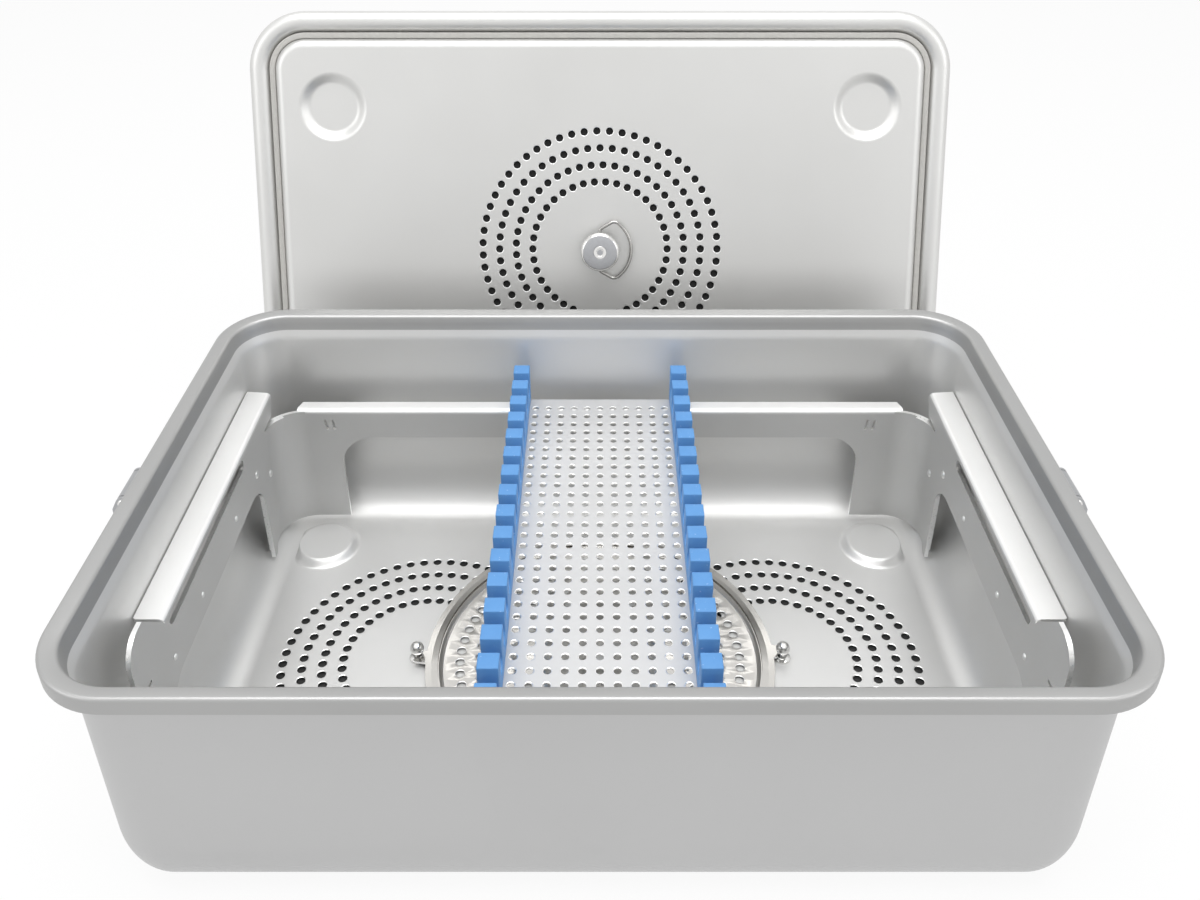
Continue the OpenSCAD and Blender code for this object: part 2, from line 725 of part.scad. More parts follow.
module at_latch_rivets() {
    for (y = [-1, 1])
        translate([side_x, y * latch_len / 4, latch_z - latch_foot_h + 4]) rotate([0, 90, 0]) children();
}

module latch_rivet_holes() {
    at_latch_rivets() translate([0, 0, -2 * through]) cylinder(d = latch_rivet_d, h = 4 * through);
}

// Strap riveted to the short wall, rolled round the latch pin
module latch_bracket(left) color(white_steel) sided(left) difference() {
    translate([0, latch_len / 2, 0]) rotate([90, 0, 0]) linear_extrude(latch_len) difference() {
        union() {
            translate([side_x, latch_z - latch_foot_h])
                square([latch_t, latch_foot_h + knuckle_r - latch_t]);
            translate([side_x + latch_t, latch_z + knuckle_r - 2 * latch_t])
                difference() {
                    square([latch_t, latch_t]);
                    translate([latch_t, 0]) circle(latch_t);
                }
            translate([side_x, latch_z + knuckle_r - latch_t]) difference() {
                square([latch_out, latch_t]);
                difference() {
                    square(2 * latch_t, center = true);
                    translate([latch_t, 0]) circle(latch_t);
                    translate([latch_t, -through]) square(2 * latch_t);
                }
            }
            translate([pin_x, latch_z]) circle(knuckle_r);
        }
        translate([pin_x, latch_z]) circle(latch_pin_d / 2 + latch_pin_gap);
        translate([pin_x - knuckle_r, latch_z + knuckle_r - latch_t - 0.6])
            square([knuckle_r - latch_pin_d / 2 + 1, 0.6]);
    }
    latch_rivet_holes();
}

module latch_rivets(left) color(chrome) sided(left) at_latch_rivets() {
    translate([0, 0, -sheet]) cylinder(d = latch_rivet_d, h = sheet + latch_t);
    translate([0, 0, latch_t]) cylinder(d1 = 1.7 * latch_rivet_d, d2 = 0.9 * latch_rivet_d, h = 1);
}

// Hooked lever that hangs from the pin and swings up over the lid
module latch_lever(left) color(white_steel) sided(left) difference() {
    translate([pin_x, 0, latch_z]) rotate([90, 0, 0]) {
        linear_extrude(2 * (ear_y + latch_t), center = true) {
            translate([lever_x, -lever_len]) square([latch_t, lever_len - knuckle_r]);
            translate([lever_x, -lever_len]) square([latch_t + hook_len, latch_t]);
            translate([lever_x + latch_t + hook_len - latch_t, -lever_len])
                square([latch_t, 3]);
        }
        for (s = [0, 1]) mirror([0, 0, s])
            translate([0, 0, ear_y]) linear_extrude(latch_t) {
                circle(knuckle_r);
                translate([0, -knuckle_r - 2]) square([lever_x + latch_t, knuckle_r + 2]);
            }
    }
    translate([pin_x, 0, latch_z]) rotate([90, 0, 0])
        cylinder(d = latch_pin_d, h = 4 * latch_len, center = true);
}

module latch_pin(left) color(chrome) sided(left) translate([pin_x, 0, latch_z]) rotate([90, 0, 0]) {
    half = ear_y + latch_t;
    cylinder(d = latch_pin_d, h = 2 * half, center = true);
    for (s = [0, 1]) mirror([0, 0, s])
        translate([0, 0, half]) cylinder(d1 = 1.4 * latch_pin_d, d2 = latch_pin_d, h = 0.7);
}

module latch_bracket_left() latch_bracket(true);
module latch_bracket_right() latch_bracket(false);
module latch_rivets_left() latch_rivets(true);
module latch_rivets_right() latch_rivets(false);
module latch_lever_left() latch_lever(true);
module latch_lever_right() latch_lever(false);
module latch_pin_left() latch_pin(true);
module latch_pin_right() latch_pin(false);

body_pan();
filter_stud_left();
filter_stud_right();
filter_plate();
insert_front_band();
insert_back_band();
insert_rivets();
rack_tray();
rack_left();
rack_right();
lid_shell();
lid_seal();
lid_knob();
lid_knob_collar();
lid_knob_screw();
lid_nut();
lid_bail();
latch_bracket_left();
latch_bracket_right();
latch_rivets_left();
latch_rivets_right();
latch_lever_left();
latch_lever_right();
latch_pin_left();
latch_pin_right();
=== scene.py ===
import math

import bmesh
import bpy
from mathutils import Matrix, Vector


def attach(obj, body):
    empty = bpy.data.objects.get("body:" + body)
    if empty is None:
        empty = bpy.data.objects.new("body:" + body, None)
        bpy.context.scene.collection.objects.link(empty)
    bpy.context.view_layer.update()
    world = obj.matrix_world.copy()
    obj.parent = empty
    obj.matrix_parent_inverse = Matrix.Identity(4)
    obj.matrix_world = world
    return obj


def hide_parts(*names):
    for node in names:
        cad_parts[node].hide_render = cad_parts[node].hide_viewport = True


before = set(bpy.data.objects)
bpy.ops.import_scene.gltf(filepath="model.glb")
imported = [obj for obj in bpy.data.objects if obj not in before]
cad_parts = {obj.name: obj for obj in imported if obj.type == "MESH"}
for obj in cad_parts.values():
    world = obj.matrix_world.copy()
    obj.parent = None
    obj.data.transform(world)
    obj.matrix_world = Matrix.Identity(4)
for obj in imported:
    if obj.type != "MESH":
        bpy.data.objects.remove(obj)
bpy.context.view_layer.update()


# View. The camera stands over the front edge of the pan and looks down at 28.9 degrees,
# as in the photograph, whose vanishing lines and rims gave its place and lens.
LOOK_DOWN = math.radians(28.913)
eye = bpy.data.cameras.new("eye")
eye.lens = 33.05
eye.sensor_width = 36
eye.shift_y = -0.125
camera = bpy.data.objects.new("camera", eye)
camera.location = (0, -0.3045, 0.3267)
camera.rotation_euler = (math.pi / 2 - LOOK_DOWN, 0, 0)
bpy.context.scene.collection.objects.link(camera)
bpy.context.scene.camera = camera
bpy.context.scene.view_settings.view_transform = "Standard"


# Studio. A seamless white floor and white air round it, one wide lamp overhead and a
# weaker one at each side. Camera, mirror and glass rays see both white, at full strength.
class Value:
    """One output of a node. Python's operators add Math nodes behind it."""

    def __init__(self, nodes, socket):
        self.nodes = nodes
        self.socket = socket

    def maths(self, operation, *terms):
        return self.nodes.node("ShaderNodeMath", {"operation": operation}, dict(enumerate(terms)))

    def __add__(self, other):
        return self.maths("ADD", self, other)

    def __mul__(self, other):
        return self.maths("MULTIPLY", self, other)

    __radd__ = __add__
    __rmul__ = __mul__


class Nodes:
    """The nodes of one material or of the world."""

    def __init__(self, owner):
        owner.use_nodes = True
        self.owner = owner
        self.tree = owner.node_tree

    def node(self, kind, settings, sockets, output=0):
        made = self.tree.nodes.new(kind)
        for name, value in settings.items():
            setattr(made, name, value)
        for name, value in sockets.items():
            self.feed(made, name, value)
        return Value(self, made.outputs[output])

    def feed(self, made, name, value):
        if isinstance(value, Value):
            self.tree.links.new(value.socket, made.inputs[name])
        else:
            made.inputs[name].default_value = value

    def plainly_seen(self):
        """1 for camera, mirror and glass rays, 0 for the others."""
        path = self.tree.nodes.new("ShaderNodeLightPath")
        kinds = [Value(self, path.outputs[name])
                 for name in ("Is Camera Ray", "Is Glossy Ray", "Is Transmission Ray")]
        return kinds[0] + kinds[1] + kinds[2]


AIR_LIGHT = 0.5
world = bpy.data.worlds.new("studio")
bpy.context.scene.world = world
air = Nodes(world)
air.feed(air.tree.nodes["Background"], "Color", (1, 1, 1, 1))
air.feed(air.tree.nodes["Background"], "Strength", AIR_LIGHT + (1 - AIR_LIGHT) * air.plainly_seen())

FLOOR_GLOW = 0.9
floor_finish = Nodes(bpy.data.materials.new("white_floor"))
matt = floor_finish.node("ShaderNodeBsdfDiffuse", {}, {"Color": (0.95, 0.95, 0.95, 1)})
glow = floor_finish.node("ShaderNodeEmission", {}, {"Color": (1, 1, 1, 1), "Strength": 1})
floor_mix = floor_finish.node("ShaderNodeMixShader", {},
                              {0: FLOOR_GLOW * floor_finish.plainly_seen(), 1: matt, 2: glow})
floor_finish.feed(floor_finish.tree.nodes["Material Output"], "Surface", floor_mix)
painted_shadow_finish = Nodes(bpy.data.materials.new("painted_shadow_card"))
painted_shadow_finish.feed(painted_shadow_finish.tree.nodes["Principled BSDF"], "Base Color", (0.01, 0.01, 0.01, 1))
# A black card under the pan's flat floor paints shade, so that its holes look black
for name, finish, half, height in (("studio_floor", floor_finish, (8, 8), 0),
                                   ("painted_shadow_card", painted_shadow_finish, (0.128, 0.076), 0.00005)):
    bm = bmesh.new()
    stretch = Matrix.Diagonal((*half, 1, 1))
    bmesh.ops.create_grid(bm, x_segments=1, y_segments=1, size=1,
                          matrix=Matrix.Translation((0, 0, height)) @ stretch)
    sheet_mesh = bpy.data.meshes.new(name)
    bm.to_mesh(sheet_mesh)
    bm.free()
    sheet_mesh.materials.append(finish.owner)
    ground = bpy.data.objects.new(name, sheet_mesh)
    bpy.context.scene.collection.objects.link(ground)

# Name, place, power in watts, width and depth of each lamp
LAMPS = (("lamp_over", (0, -0.1, 1.3), 12, 1.2, 0.9),
         ("lamp_left", (-1.1, -0.5, 0.7), 2.2, 0.6, 0.6),
         ("lamp_right", (1.1, -0.5, 0.7), 2.2, 0.6, 0.6))
for name, place, power, width, depth in LAMPS:
    light = bpy.data.lights.new(name, "AREA")
    light.shape = "RECTANGLE"
    light.energy = power
    light.size = width
    light.size_y = depth
    lamp = bpy.data.objects.new(name, light)
    lamp.location = place
    lamp.rotation_euler = Vector(place).to_track_quat("Z", "Y").to_euler()
    bpy.context.scene.collection.objects.link(lamp)


# Pan. Drawn from one sheet of light alloy, with a rolled rim, two fields of punched holes
# and four stacking bosses in its floor. Its inside takes a paler copy of its satin as painted
# light, its outside and rim darker copies as painted shade, and its cut and punched edges are bright.
MM = 0.001
UP = Vector((0, 0, 1))
TURN = 2 * math.pi
RIM_W = 312
RIM_D = 208
RIM_R = 25
PAN_SHEET = 1
FLOOR_Z = 1
RIM_INSET = 8
CURVE_H = 24
CURVE_RUN = 16.5
HOLE_R = 1.7
RINGS = 4
FIRST_RING = 30.7
RING_STEP = 7.6
FIRST_HOLES = 38
MORE_HOLES = 7
BOSS_H = 2.6
BOSS_X = 119.3
BOSS_Y = 64
PAN_BOSS_FOOT = 15.1
PAN_BOSS_TOP = 10.9
FLAT_X = 131
SHOULDER_Z = 91
RIM_PAINTED_SHADE_FINISH = 3
BACK_PAINTED_SHADE_FINISH = 2
FIELD_X = 68


def arc(cx, cy, radius, start, end, steps):
    """Points of an arc, its angles in degrees."""
    angles = [math.radians(start + (end - start) * k / steps) for k in range(steps + 1)]
    return [(cx + radius * math.cos(a), cy + radius * math.sin(a)) for a in angles]


def carried_round(bm, line, width, depth, corner, steps):
    """Carries an open line of (distance from the edge, height) round a rounded rectangle."""
    across = width / 2 - corner
    along = depth / 2 - corner
    column = [bm.verts.new((width / 2 - inset, -along, height)) for inset, height in line]
    moving = column + [bm.edges.new(pair) for pair in zip(column, column[1:])]
    sides = (((across, along), (0, 2 * along)), ((-across, along), (-2 * across, 0)),
             ((-across, -along), (0, -2 * along)), ((across, -along), (2 * across, 0)))
    for centre, run in sides:
        moving = bmesh.ops.spin(bm, geom=moving, cent=(0, 0, 0), axis=UP, dvec=(*run, 0),
                                angle=0, steps=1)["geom_last"]
        moving = bmesh.ops.spin(bm, geom=moving, cent=(*centre, 0), axis=UP,
                                angle=math.pi / 2, steps=steps)["geom_last"]
    bmesh.ops.remove_doubles(bm, verts=bm.verts, dist=0.002)


def add_copy(bm, part, place):
    """Adds a placed copy of one bmesh to another."""
    mesh = bpy.data.meshes.new("copy")
    part.to_mesh(mesh)
    mesh.transform(place)
    bm.from_mesh(mesh)
    bpy.data.meshes.remove(mesh)


def turned(profile, sides):
    """A line of (radius, height) points spun about the upright axis."""
    part = bmesh.new()
    column = [part.verts.new((radius, 0, height)) for radius, height in profile]
    edges = [part.edges.new(pair) for pair in zip(column, column[1:])]
    bmesh.ops.spin(part, geom=column + edges, cent=(0, 0, 0), axis=UP, angle=TURN, steps=sides,
                   use_merge=True)
    bmesh.ops.remove_doubles(part, verts=part.verts, dist=0.0005)
    bmesh.ops.recalc_face_normals(part, faces=part.faces)
    return part


def punched(radius, height, shoulder, sides):
    """Edge of a punched hole: a fine bright shoulder that dips into the hole."""
    part = turned([(radius + shoulder, height), (radius, height - 0.4 * shoulder)], sides)
    for face in part.faces:
        face.material_index = 1
    return part


def ring_field(height):
    """Four rings of holes, with 38 in the first and seven more in each further ring."""
    field = bmesh.new()
    for ring in range(RINGS):
        count = FIRST_HOLES + MORE_HOLES * ring
        hole = punched(HOLE_R, height, 0.22, 16)
        bmesh.ops.translate(hole, verts=hole.verts, vec=(FIRST_RING + RING_STEP * ring, 0, 0))
        bmesh.ops.spin(hole, geom=hole.verts[:] + hole.edges[:] + hole.faces[:], cent=(0, 0, 0),
                       axis=UP, angle=TURN * (count - 1) / count, steps=count - 1,
                       use_duplicate=True)
        add_copy(field, hole, Matrix())
        hole.free()
    return field


def filled(bm, height):
    """Fills what lies open between the edges at one height with flat faces."""
    for face in bm.faces:
        face.smooth = True
    rim = [edge for edge in bm.edges if len(edge.link_faces) < 2
           and all(abs(vert.co.z - height) < 0.001 for vert in edge.verts)]
    bmesh.ops.triangle_fill(bm, use_beauty=True, edges=rim, normal=UP)


def boss(outer, inner, low, high, steps):
    """A drawn boss: a soft step from one height to another, and its flat top."""
    profile = []
    for k in range(steps + 1):
        share = k / steps
        rise = share * share * (3 - 2 * share)
        profile.append((outer + (inner - outer) * share, low + (high - low) * rise))
    return turned(profile + [(inner - 0.3, high), (0, high)], 40)


def all_one_way(bm, side):
    """Turns every face the same way, with the seen side towards the given direction."""
    bmesh.ops.recalc_face_normals(bm, faces=bm.faces)
    if sum(face.normal.dot(side) * face.calc_area() for face in bm.faces) < 0:
        bmesh.ops.reverse_faces(bm, faces=bm.faces)


def finished(name, bm, finishes, body, nodes, sheet=0, place=Matrix(), sharp=35, back=0):
    """Makes an object of a bmesh in millimetres, gives a sheet its thickness, and seats it.

    The back of a sheet takes the finish that stands so many places behind that of its front."""
    bmesh.ops.transform(bm, matrix=Matrix.Scale(MM, 4) @ place, verts=bm.verts)
    mesh = bpy.data.meshes.new(name)
    bm.to_mesh(mesh)
    bm.free()
    for finish in finishes:
        mesh.materials.append(finish.owner)
    thing = bpy.data.objects.new(name, mesh)
    bpy.context.scene.collection.objects.link(thing)
    if sheet:
        wall = thing.modifiers.new("sheet", "SOLIDIFY")
        wall.thickness = sheet * MM
        wall.offset = -1
        wall.use_even_offset = True
        wall.material_offset = back
        wall.material_offset_rim = 1
        seen = thing.evaluated_get(bpy.context.evaluated_depsgraph_get())
        thing.data = bpy.data.meshes.new_from_object(seen)
        thing.data.name = name
        thing.modifiers.clear()
    rounded = [face.use_smooth for face in thing.data.polygons]
    thing.data.set_sharp_from_angle(angle=math.radians(sharp))
    thing.data.polygons.foreach_set("use_smooth", rounded)
    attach(thing, body)
    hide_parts(*nodes)


def smooth(bm):
    for face in bm.faces:
        face.smooth = True


class Finish(Nodes):
    """A material with one Principled shader, whose patterns read Object coordinates."""

    def __init__(self, name, **sockets):
        super().__init__(bpy.data.materials.new(name))
        self.shader = self.tree.nodes["Principled BSDF"]
        self.spot = self.node("ShaderNodeTexCoord", {}, {}, "Object")
        for socket, value in sockets.items():
            self.give(socket.replace("_", " "), value)

    def give(self, socket, value):
        self.feed(self.shader, socket, value)

    def noise(self, scale, detail=2, where=None):
        return self.node("ShaderNodeTexNoise", {},
                         {"Vector": where or self.spot, "Scale": scale, "Detail": detail})

    def stretched(self, scale, turn=(0, 0, 0)):
        """Object coordinates turned and then stretched, for lines that run one way."""
        return self.node("ShaderNodeMapping", {"vector_type": "TEXTURE"},
                         {"Vector": self.spot, "Rotation": turn,
                          "Scale": tuple(1 / s for s in scale)})

    def between(self, value, low, high):
        """0 below low and 1 above high, with a soft step."""
        return self.node("ShaderNodeMapRange", {"interpolation_type": "SMOOTHSTEP"},
                         {"Value": value, "From Min": low, "From Max": high})

    def blend(self, share, first, second):
        return self.node("ShaderNodeMix", {"data_type": "RGBA"},
                         {0: share, 6: (*first, 1), 7: (*second, 1)}, 2)

    def raise_by(self, height, depth, strength):
        """Bumps of a depth in millimetres."""
        self.give("Normal", self.node("ShaderNodeBump", {}, {"Strength": strength,
                                      "Distance": depth * MM, "Height": height}))


def scratches(finish, angle):
    """Sparse hairlines that run one way, as wiping leaves them."""
    lines = finish.noise(1, 3, finish.stretched((900, 14, 900), (0.1, 0.2, angle)))
    return finish.between(lines, 0.66, 0.74)


def satin_finish(name, metal, low, high):
    """Satin light alloy with soft clouds, a very fine grain and wiping marks."""
    finish = Finish(name, Metallic=metal)
    clouds = finish.noise(14, 3)
    grain = finish.noise(2600, 2)
    wiped = scratches(finish, 0.5) + scratches(finish, 2.2)
    finish.give("Base Color", finish.blend(clouds, low, high))
    finish.give("Roughness", 0.36 + 0.08 * clouds + 0.06 * grain + 0.05 * wiped)
    finish.raise_by(grain + 0.6 * wiped, 0.02, 0.35)
    return finish


# The pan's inside, outside and rim are copies of one alloy: the paler inside is painted light, the darker
# outside and rim painted shade
satin_inside_painted_light = satin_finish("satin_inside_painted_light", 0.6, (0.7, 0.698, 0.688), (0.76, 0.759, 0.75))
satin_outside_painted_shade = satin_finish("satin_outside_painted_shade", 0.8, (0.5, 0.5, 0.5), (0.54, 0.54, 0.54))
satin_rim_painted_shade = satin_finish("satin_rim_painted_shade", 0.8, (0.39, 0.39, 0.388), (0.44, 0.44, 0.436))
satin_lid = satin_finish("satin_lid", 0.8, (0.63, 0.628, 0.615), (0.7, 0.699, 0.688))

cut_edge = Finish("cut_alloy", Metallic=1)
cut_marks = cut_edge.noise(1500, 2)
cut_edge.give("Base Color", cut_edge.blend(cut_marks, (0.84, 0.84, 0.83), (0.95, 0.95, 0.94)))
cut_edge.give("Roughness", 0.22 + 0.16 * cut_marks)

rim_line = [(0, 91.5), (0, 92.2), (0, 94.2)] + arc(1.2, 95.8, 1.2, 180, 90, 6)
rim_line += arc(4.2, 94.8, 1.6, 80, 20, 5) + [(6.1, 92.8), (6.8, 90.4), (7.5, 88)]
rim_line += [(7.85, 86.9), (8, 85.6), (8, 82), (8, 55), (8, 30)]
wall_line = [(RIM_INSET + CURVE_RUN * (1 - math.cos(math.radians(5 * k))),
              FLOOR_Z + CURVE_H * (1 - math.sin(math.radians(5 * k)))) for k in range(19)]
wall_line += [(RIM_INSET + CURVE_RUN + 0.3, FLOOR_Z)]

bm = bmesh.new()
carried_round(bm, rim_line + wall_line, RIM_W, RIM_D, RIM_R, 18)
field = ring_field(FLOOR_Z)
for side in (-1, 1):
    add_copy(bm, field, Matrix.Translation((side * FIELD_X, 0, 0)))
field.free()
pan_boss = boss(PAN_BOSS_FOOT, PAN_BOSS_TOP, FLOOR_Z, FLOOR_Z + BOSS_H, 10)
# The foot of a boss draws in where the curve of the wall begins
for vert in pan_boss.verts:
    reach = vert.co.xy.length
    if vert.co.x > 0 and reach > PAN_BOSS_TOP:
        free = min(PAN_BOSS_FOOT, (FLAT_X - BOSS_X) * reach / vert.co.x)
        share = (reach - PAN_BOSS_TOP) / (PAN_BOSS_FOOT - PAN_BOSS_TOP)
        vert.co.xy *= (PAN_BOSS_TOP + share * (free - PAN_BOSS_TOP)) / reach
for side in (-1, 1):
    for y in (-BOSS_Y, BOSS_Y):
        add_copy(bm, pan_boss, Matrix.Translation((side * BOSS_X, y, 0)) @ Matrix.Scale(side, 4, (1, 0, 0)))
pan_boss.free()
filled(bm, FLOOR_Z)
# Faces above the shoulder take the darker rim copy, painted shade
for face in bm.faces:
    if face.calc_center_median().z > SHOULDER_Z:
        face.material_index = RIM_PAINTED_SHADE_FINISH
all_one_way(bm, UP)
finished("pan", bm, (satin_inside_painted_light, cut_edge, satin_outside_painted_shade, satin_rim_painted_shade), "pan",
         ["body_pan"], PAN_SHEET, back=BACK_PAINTED_SHADE_FINISH)


# Ball studs. Two turned and polished studs riveted in the pan's floor. The ears of the
# filter plate hook under their balls.
chrome = Finish("bright_chrome", Metallic=1)
chrome_haze = chrome.noise(60, 2)
chrome.give("Base Color", chrome.blend(chrome_haze, (0.74, 0.735, 0.72), (0.82, 0.815, 0.8)))
chrome.give("Roughness", 0.08 + 0.07 * chrome_haze)

STUD_X = 70
stud_line = [(0, 1), (3.2, 1), (3.2, 1.75), (3.05, 1.95), (2.2, 2.2), (1.7, 2.35), (1.7, 4.2)]
stud_line += arc(0, 6.35, 2.65, -45, 90, 14)
stud = turned(stud_line, 28)
smooth(stud)
for side, x in (("left", -STUD_X), ("right", STUD_X)):
    bm = bmesh.new()
    add_copy(bm, stud, Matrix.Translation((x, 0, 0)))
    finished("ball_stud_" + side, bm, (chrome,), "pan", ["filter_stud_" + side])
stud.free()


# Filter plate. A polished disc with the pan's hole pattern, pressed up to a flat band round
# it, and two ears, each open on the side from which it is turned onto its stud.
PLATE_R = 66.5
BAND_IN = 61.3
DISC_R = 59.7
DISC_Z = 2.1
BAND_Z = 3.4
PLATE_SHEET = 0.8

plate_steel = Finish("polished_plate", Metallic=1)
plate_haze = plate_steel.noise(35, 3)
plate_marks = scratches(plate_steel, 1.1)
plate_steel.give("Base Color", plate_steel.blend(plate_haze, (0.6, 0.585, 0.56), (0.7, 0.685, 0.66)))
plate_steel.give("Roughness", 0.1 + 0.1 * plate_haze + 0.12 * plate_marks)

step_line = [(BAND_IN + 0.3, BAND_Z)] + arc(BAND_IN, BAND_Z - 0.5, 0.5, 80, 45, 3)
step_line += [(BAND_IN - 0.7, BAND_Z - 0.65)] + arc(DISC_R, DISC_Z + 0.5, 0.5, -45, -90, 3)
step_line += [(DISC_R - 0.4, DISC_Z)]
bm = turned(step_line, 96)
field = ring_field(DISC_Z)
add_copy(bm, field, Matrix())
field.free()
centre_hole = punched(4.5, DISC_Z, 0.3, 32)
add_copy(bm, centre_hole, Matrix())
centre_hole.free()
filled(bm, DISC_Z)

band_edge = []
for side in (0, 180):
    turn = Matrix.Rotation(math.radians(side), 3, "Z")
    ear = [(66.4, -1.6), (67.6, -1.6), (68.05, -1.1)] + arc(STUD_X, 0, 1.95, 180, 70, 6)
    ear += [(71.3, 2.9), (70.7, 3.7), (66.3, 4.6)]
    for x, y in ear + arc(0, 0, PLATE_R, 5, 177, 44):
        band_edge.append(turn @ Vector((x, y, BAND_Z)))
corners = [bm.verts.new(point) for point in band_edge]
for pair in zip(corners, corners[1:] + corners[:1]):
    bm.edges.new(pair)
filled(bm, BAND_Z)
bmesh.ops.remove_doubles(bm, verts=bm.verts, dist=0.001)
all_one_way(bm, UP)
finished("filter_plate_dressed", bm, (plate_steel, cut_edge), "filter",
         ["filter_plate"], PLATE_SHEET)


# Insert. Two bands of 1.5 mm sheet, bent and riveted. The front band carries the sides,
# flat panels with a flange folded outwards and an upright nose where the fold ends.
INSERT_D = 81
INSERT_R = 16
INSERT_SHEET = 1.5
INNER_R = INSERT_R - INSERT_SHEET
WALL_Y = INSERT_D - INSERT_SHEET
STRAIGHT_Y = INSERT_D - INSERT_R
FOOT_Z = 5.2
WALL_TOP = 60.55
RAIL_BEND = 59
RAIL_R = 2.3
RAIL_END = 128
RAIL_OUT = 86
BACK_HALF = 140.5
FRONT_HALF = 139
GATE_X = 111
GATE_Z = 47.5
GATE_R = 14
SLIT_PLACES = (2.2, 5.2)
SLIT_RISE = 6.5
SLIT_LEAN = 8
LEVEL_PAINTED_LIGHT = 2


def rolled_finish(name, low, high):
    """Rolled sheet, with faint lines along the way it was rolled."""
    finish = Finish(name, Metallic=0.7)
    rolling = finish.noise(1, 3, finish.stretched((60, 60, 900)))
    grain = finish.noise(2400, 2)
    finish.give("Base Color", finish.blend(finish.noise(22, 2), low, high))
    finish.give("Roughness", 0.46 + 0.06 * rolling + 0.06 * grain)
    finish.raise_by(grain + 0.5 * rolling, 0.015, 0.3)
    return finish


# Rails, flanges and all other level faces take a brighter copy of the sheet than the upright faces, as
# painted light
sheet_upright = rolled_finish("rolled_sheet", (0.58, 0.58, 0.57), (0.65, 0.65, 0.645))
sheet_painted_light = rolled_finish("sheet_level_painted_light", (0.79, 0.79, 0.78), (0.86, 0.86, 0.855))
sheet_finishes = (sheet_upright, cut_edge, sheet_painted_light)


def looped(bm, points):
    """A closed line of edges through points in space."""
    corners = [bm.verts.new(point) for point in points]
    for pair in zip(corners, corners[1:] + corners[:1]):
        bm.edges.new(pair)


def cut_lines(bm, faces, normal, places):
    """Scores flat faces along parallel lines, so that they can be bent there."""
    for place in places:
        whole = list(faces(bm))
        parts = whole + list({e for f in whole for e in f.edges} | {v for f in whole for v in f.verts})
        bmesh.ops.bisect_plane(bm, geom=parts, dist=0.0005, plane_co=Vector(normal) * place,
                               plane_no=normal)


def slit(x, y, lean):
    """A narrow slit with round ends in a flat blank."""
    outline = arc(0, 2, 0.55, 0, 180, 6) + arc(0, -2, 0.55, 180, 360, 6)
    turn = math.radians(lean)
    return [(x + u * math.cos(turn) + v * math.sin(turn), y - u * math.sin(turn) + v * math.cos(turn))
            for u, v in outline]


def gated_wall(half, last, tail):
    """Right half of a band's gated wall, laid out flat, scored, stood up and bent.

    The blank is measured along the inner face from the middle of the wall to last, and tail
    is the outline beyond the gate's foot."""
    wall = bmesh.new()
    start = half - INSERT_R
    outline = [(0, GATE_Z)] + arc(GATE_X - GATE_R, GATE_Z - GATE_R, GATE_R, 90, 0, 10)
    outline += [(GATE_X, FOOT_Z)] + tail + [(start, WALL_TOP), (start, RAIL_BEND), (0, RAIL_BEND)]
    looped(wall, [(u, z, 0) for u, z in outline])
    for beyond in SLIT_PLACES:
        looped(wall, [(u, z, 0) for u, z in slit(GATE_X + beyond, GATE_Z + SLIT_RISE, SLIT_LEAN)])
    bmesh.ops.triangle_fill(wall, use_beauty=True, edges=wall.edges[:], normal=UP)
    bend = INNER_R * math.pi / 2
    scores = [start - 0.3] + [start + bend * k / 14 for k in range(15)] + [start + bend + 0.3]
    cut_lines(wall, lambda bm: bm.faces, (1, 0, 0), [u for u in scores if u < last - 0.01])
    for vert in wall.verts:
        height = vert.co.y
        run = vert.co.x - start
        if run > bend:
            vert.co = (half - INSERT_SHEET, STRAIGHT_Y - (run - bend), height)
        elif run > 0:
            vert.co = (start + INNER_R * math.sin(run / INNER_R),
                       STRAIGHT_Y + INNER_R * math.cos(run / INNER_R), height)
        else:
            vert.co = (vert.co.x, WALL_Y, height)
    return wall


def swept(bm, profile, stops, axis):
    """Draws an open profile of (first, second) points through stops along an axis."""
    seat = {"X": lambda p, s: (s, p[0], p[1]), "Y": lambda p, s: (p[0], s, p[1])}[axis]
    column = [bm.verts.new(seat(point, stops[0])) for point in profile]
    moving = column + [bm.edges.new(pair) for pair in zip(column, column[1:])]
    ends = [column]
    for near, far in zip(stops, stops[1:]):
        step = (far - near, 0, 0) if axis == "X" else (0, far - near, 0)
        moving = bmesh.ops.spin(bm, geom=moving, cent=(0, 0, 0), axis=UP, dvec=step,
                                angle=0, steps=1)["geom_last"]
        ends.append([part for part in moving if isinstance(part, bmesh.types.BMVert)])
    return ends


def add_rail(bm, start):
    """Rail flange along the top of a wall. Its end is free beyond the corner's start."""
    profile = arc(WALL_Y + RAIL_R, RAIL_BEND, RAIL_R, 180, 90, 6) + [(RAIL_OUT, RAIL_BEND + RAIL_R)]
    ends = swept(bm, profile, (0, start - 0.3, start, RAIL_END), "X")
    for vert in ends[-1]:
        if vert.co.y > RAIL_OUT - 0.01:
            vert.co.x -= 1.4


def mirrored(bm):
    """Adds the left half, and gives what lies level the brighter copy of the sheet, as painted light."""
    bmesh.ops.remove_doubles(bm, verts=bm.verts, dist=0.002)
    bmesh.ops.mirror(bm, geom=bm.verts[:] + bm.edges[:] + bm.faces[:], axis="X", merge_dist=0.002)
    smooth(bm)
    bm.normal_update()
    for face in bm.faces:
        face.material_index = LEVEL_PAINTED_LIGHT if abs(face.normal.z) > 0.5 else 0


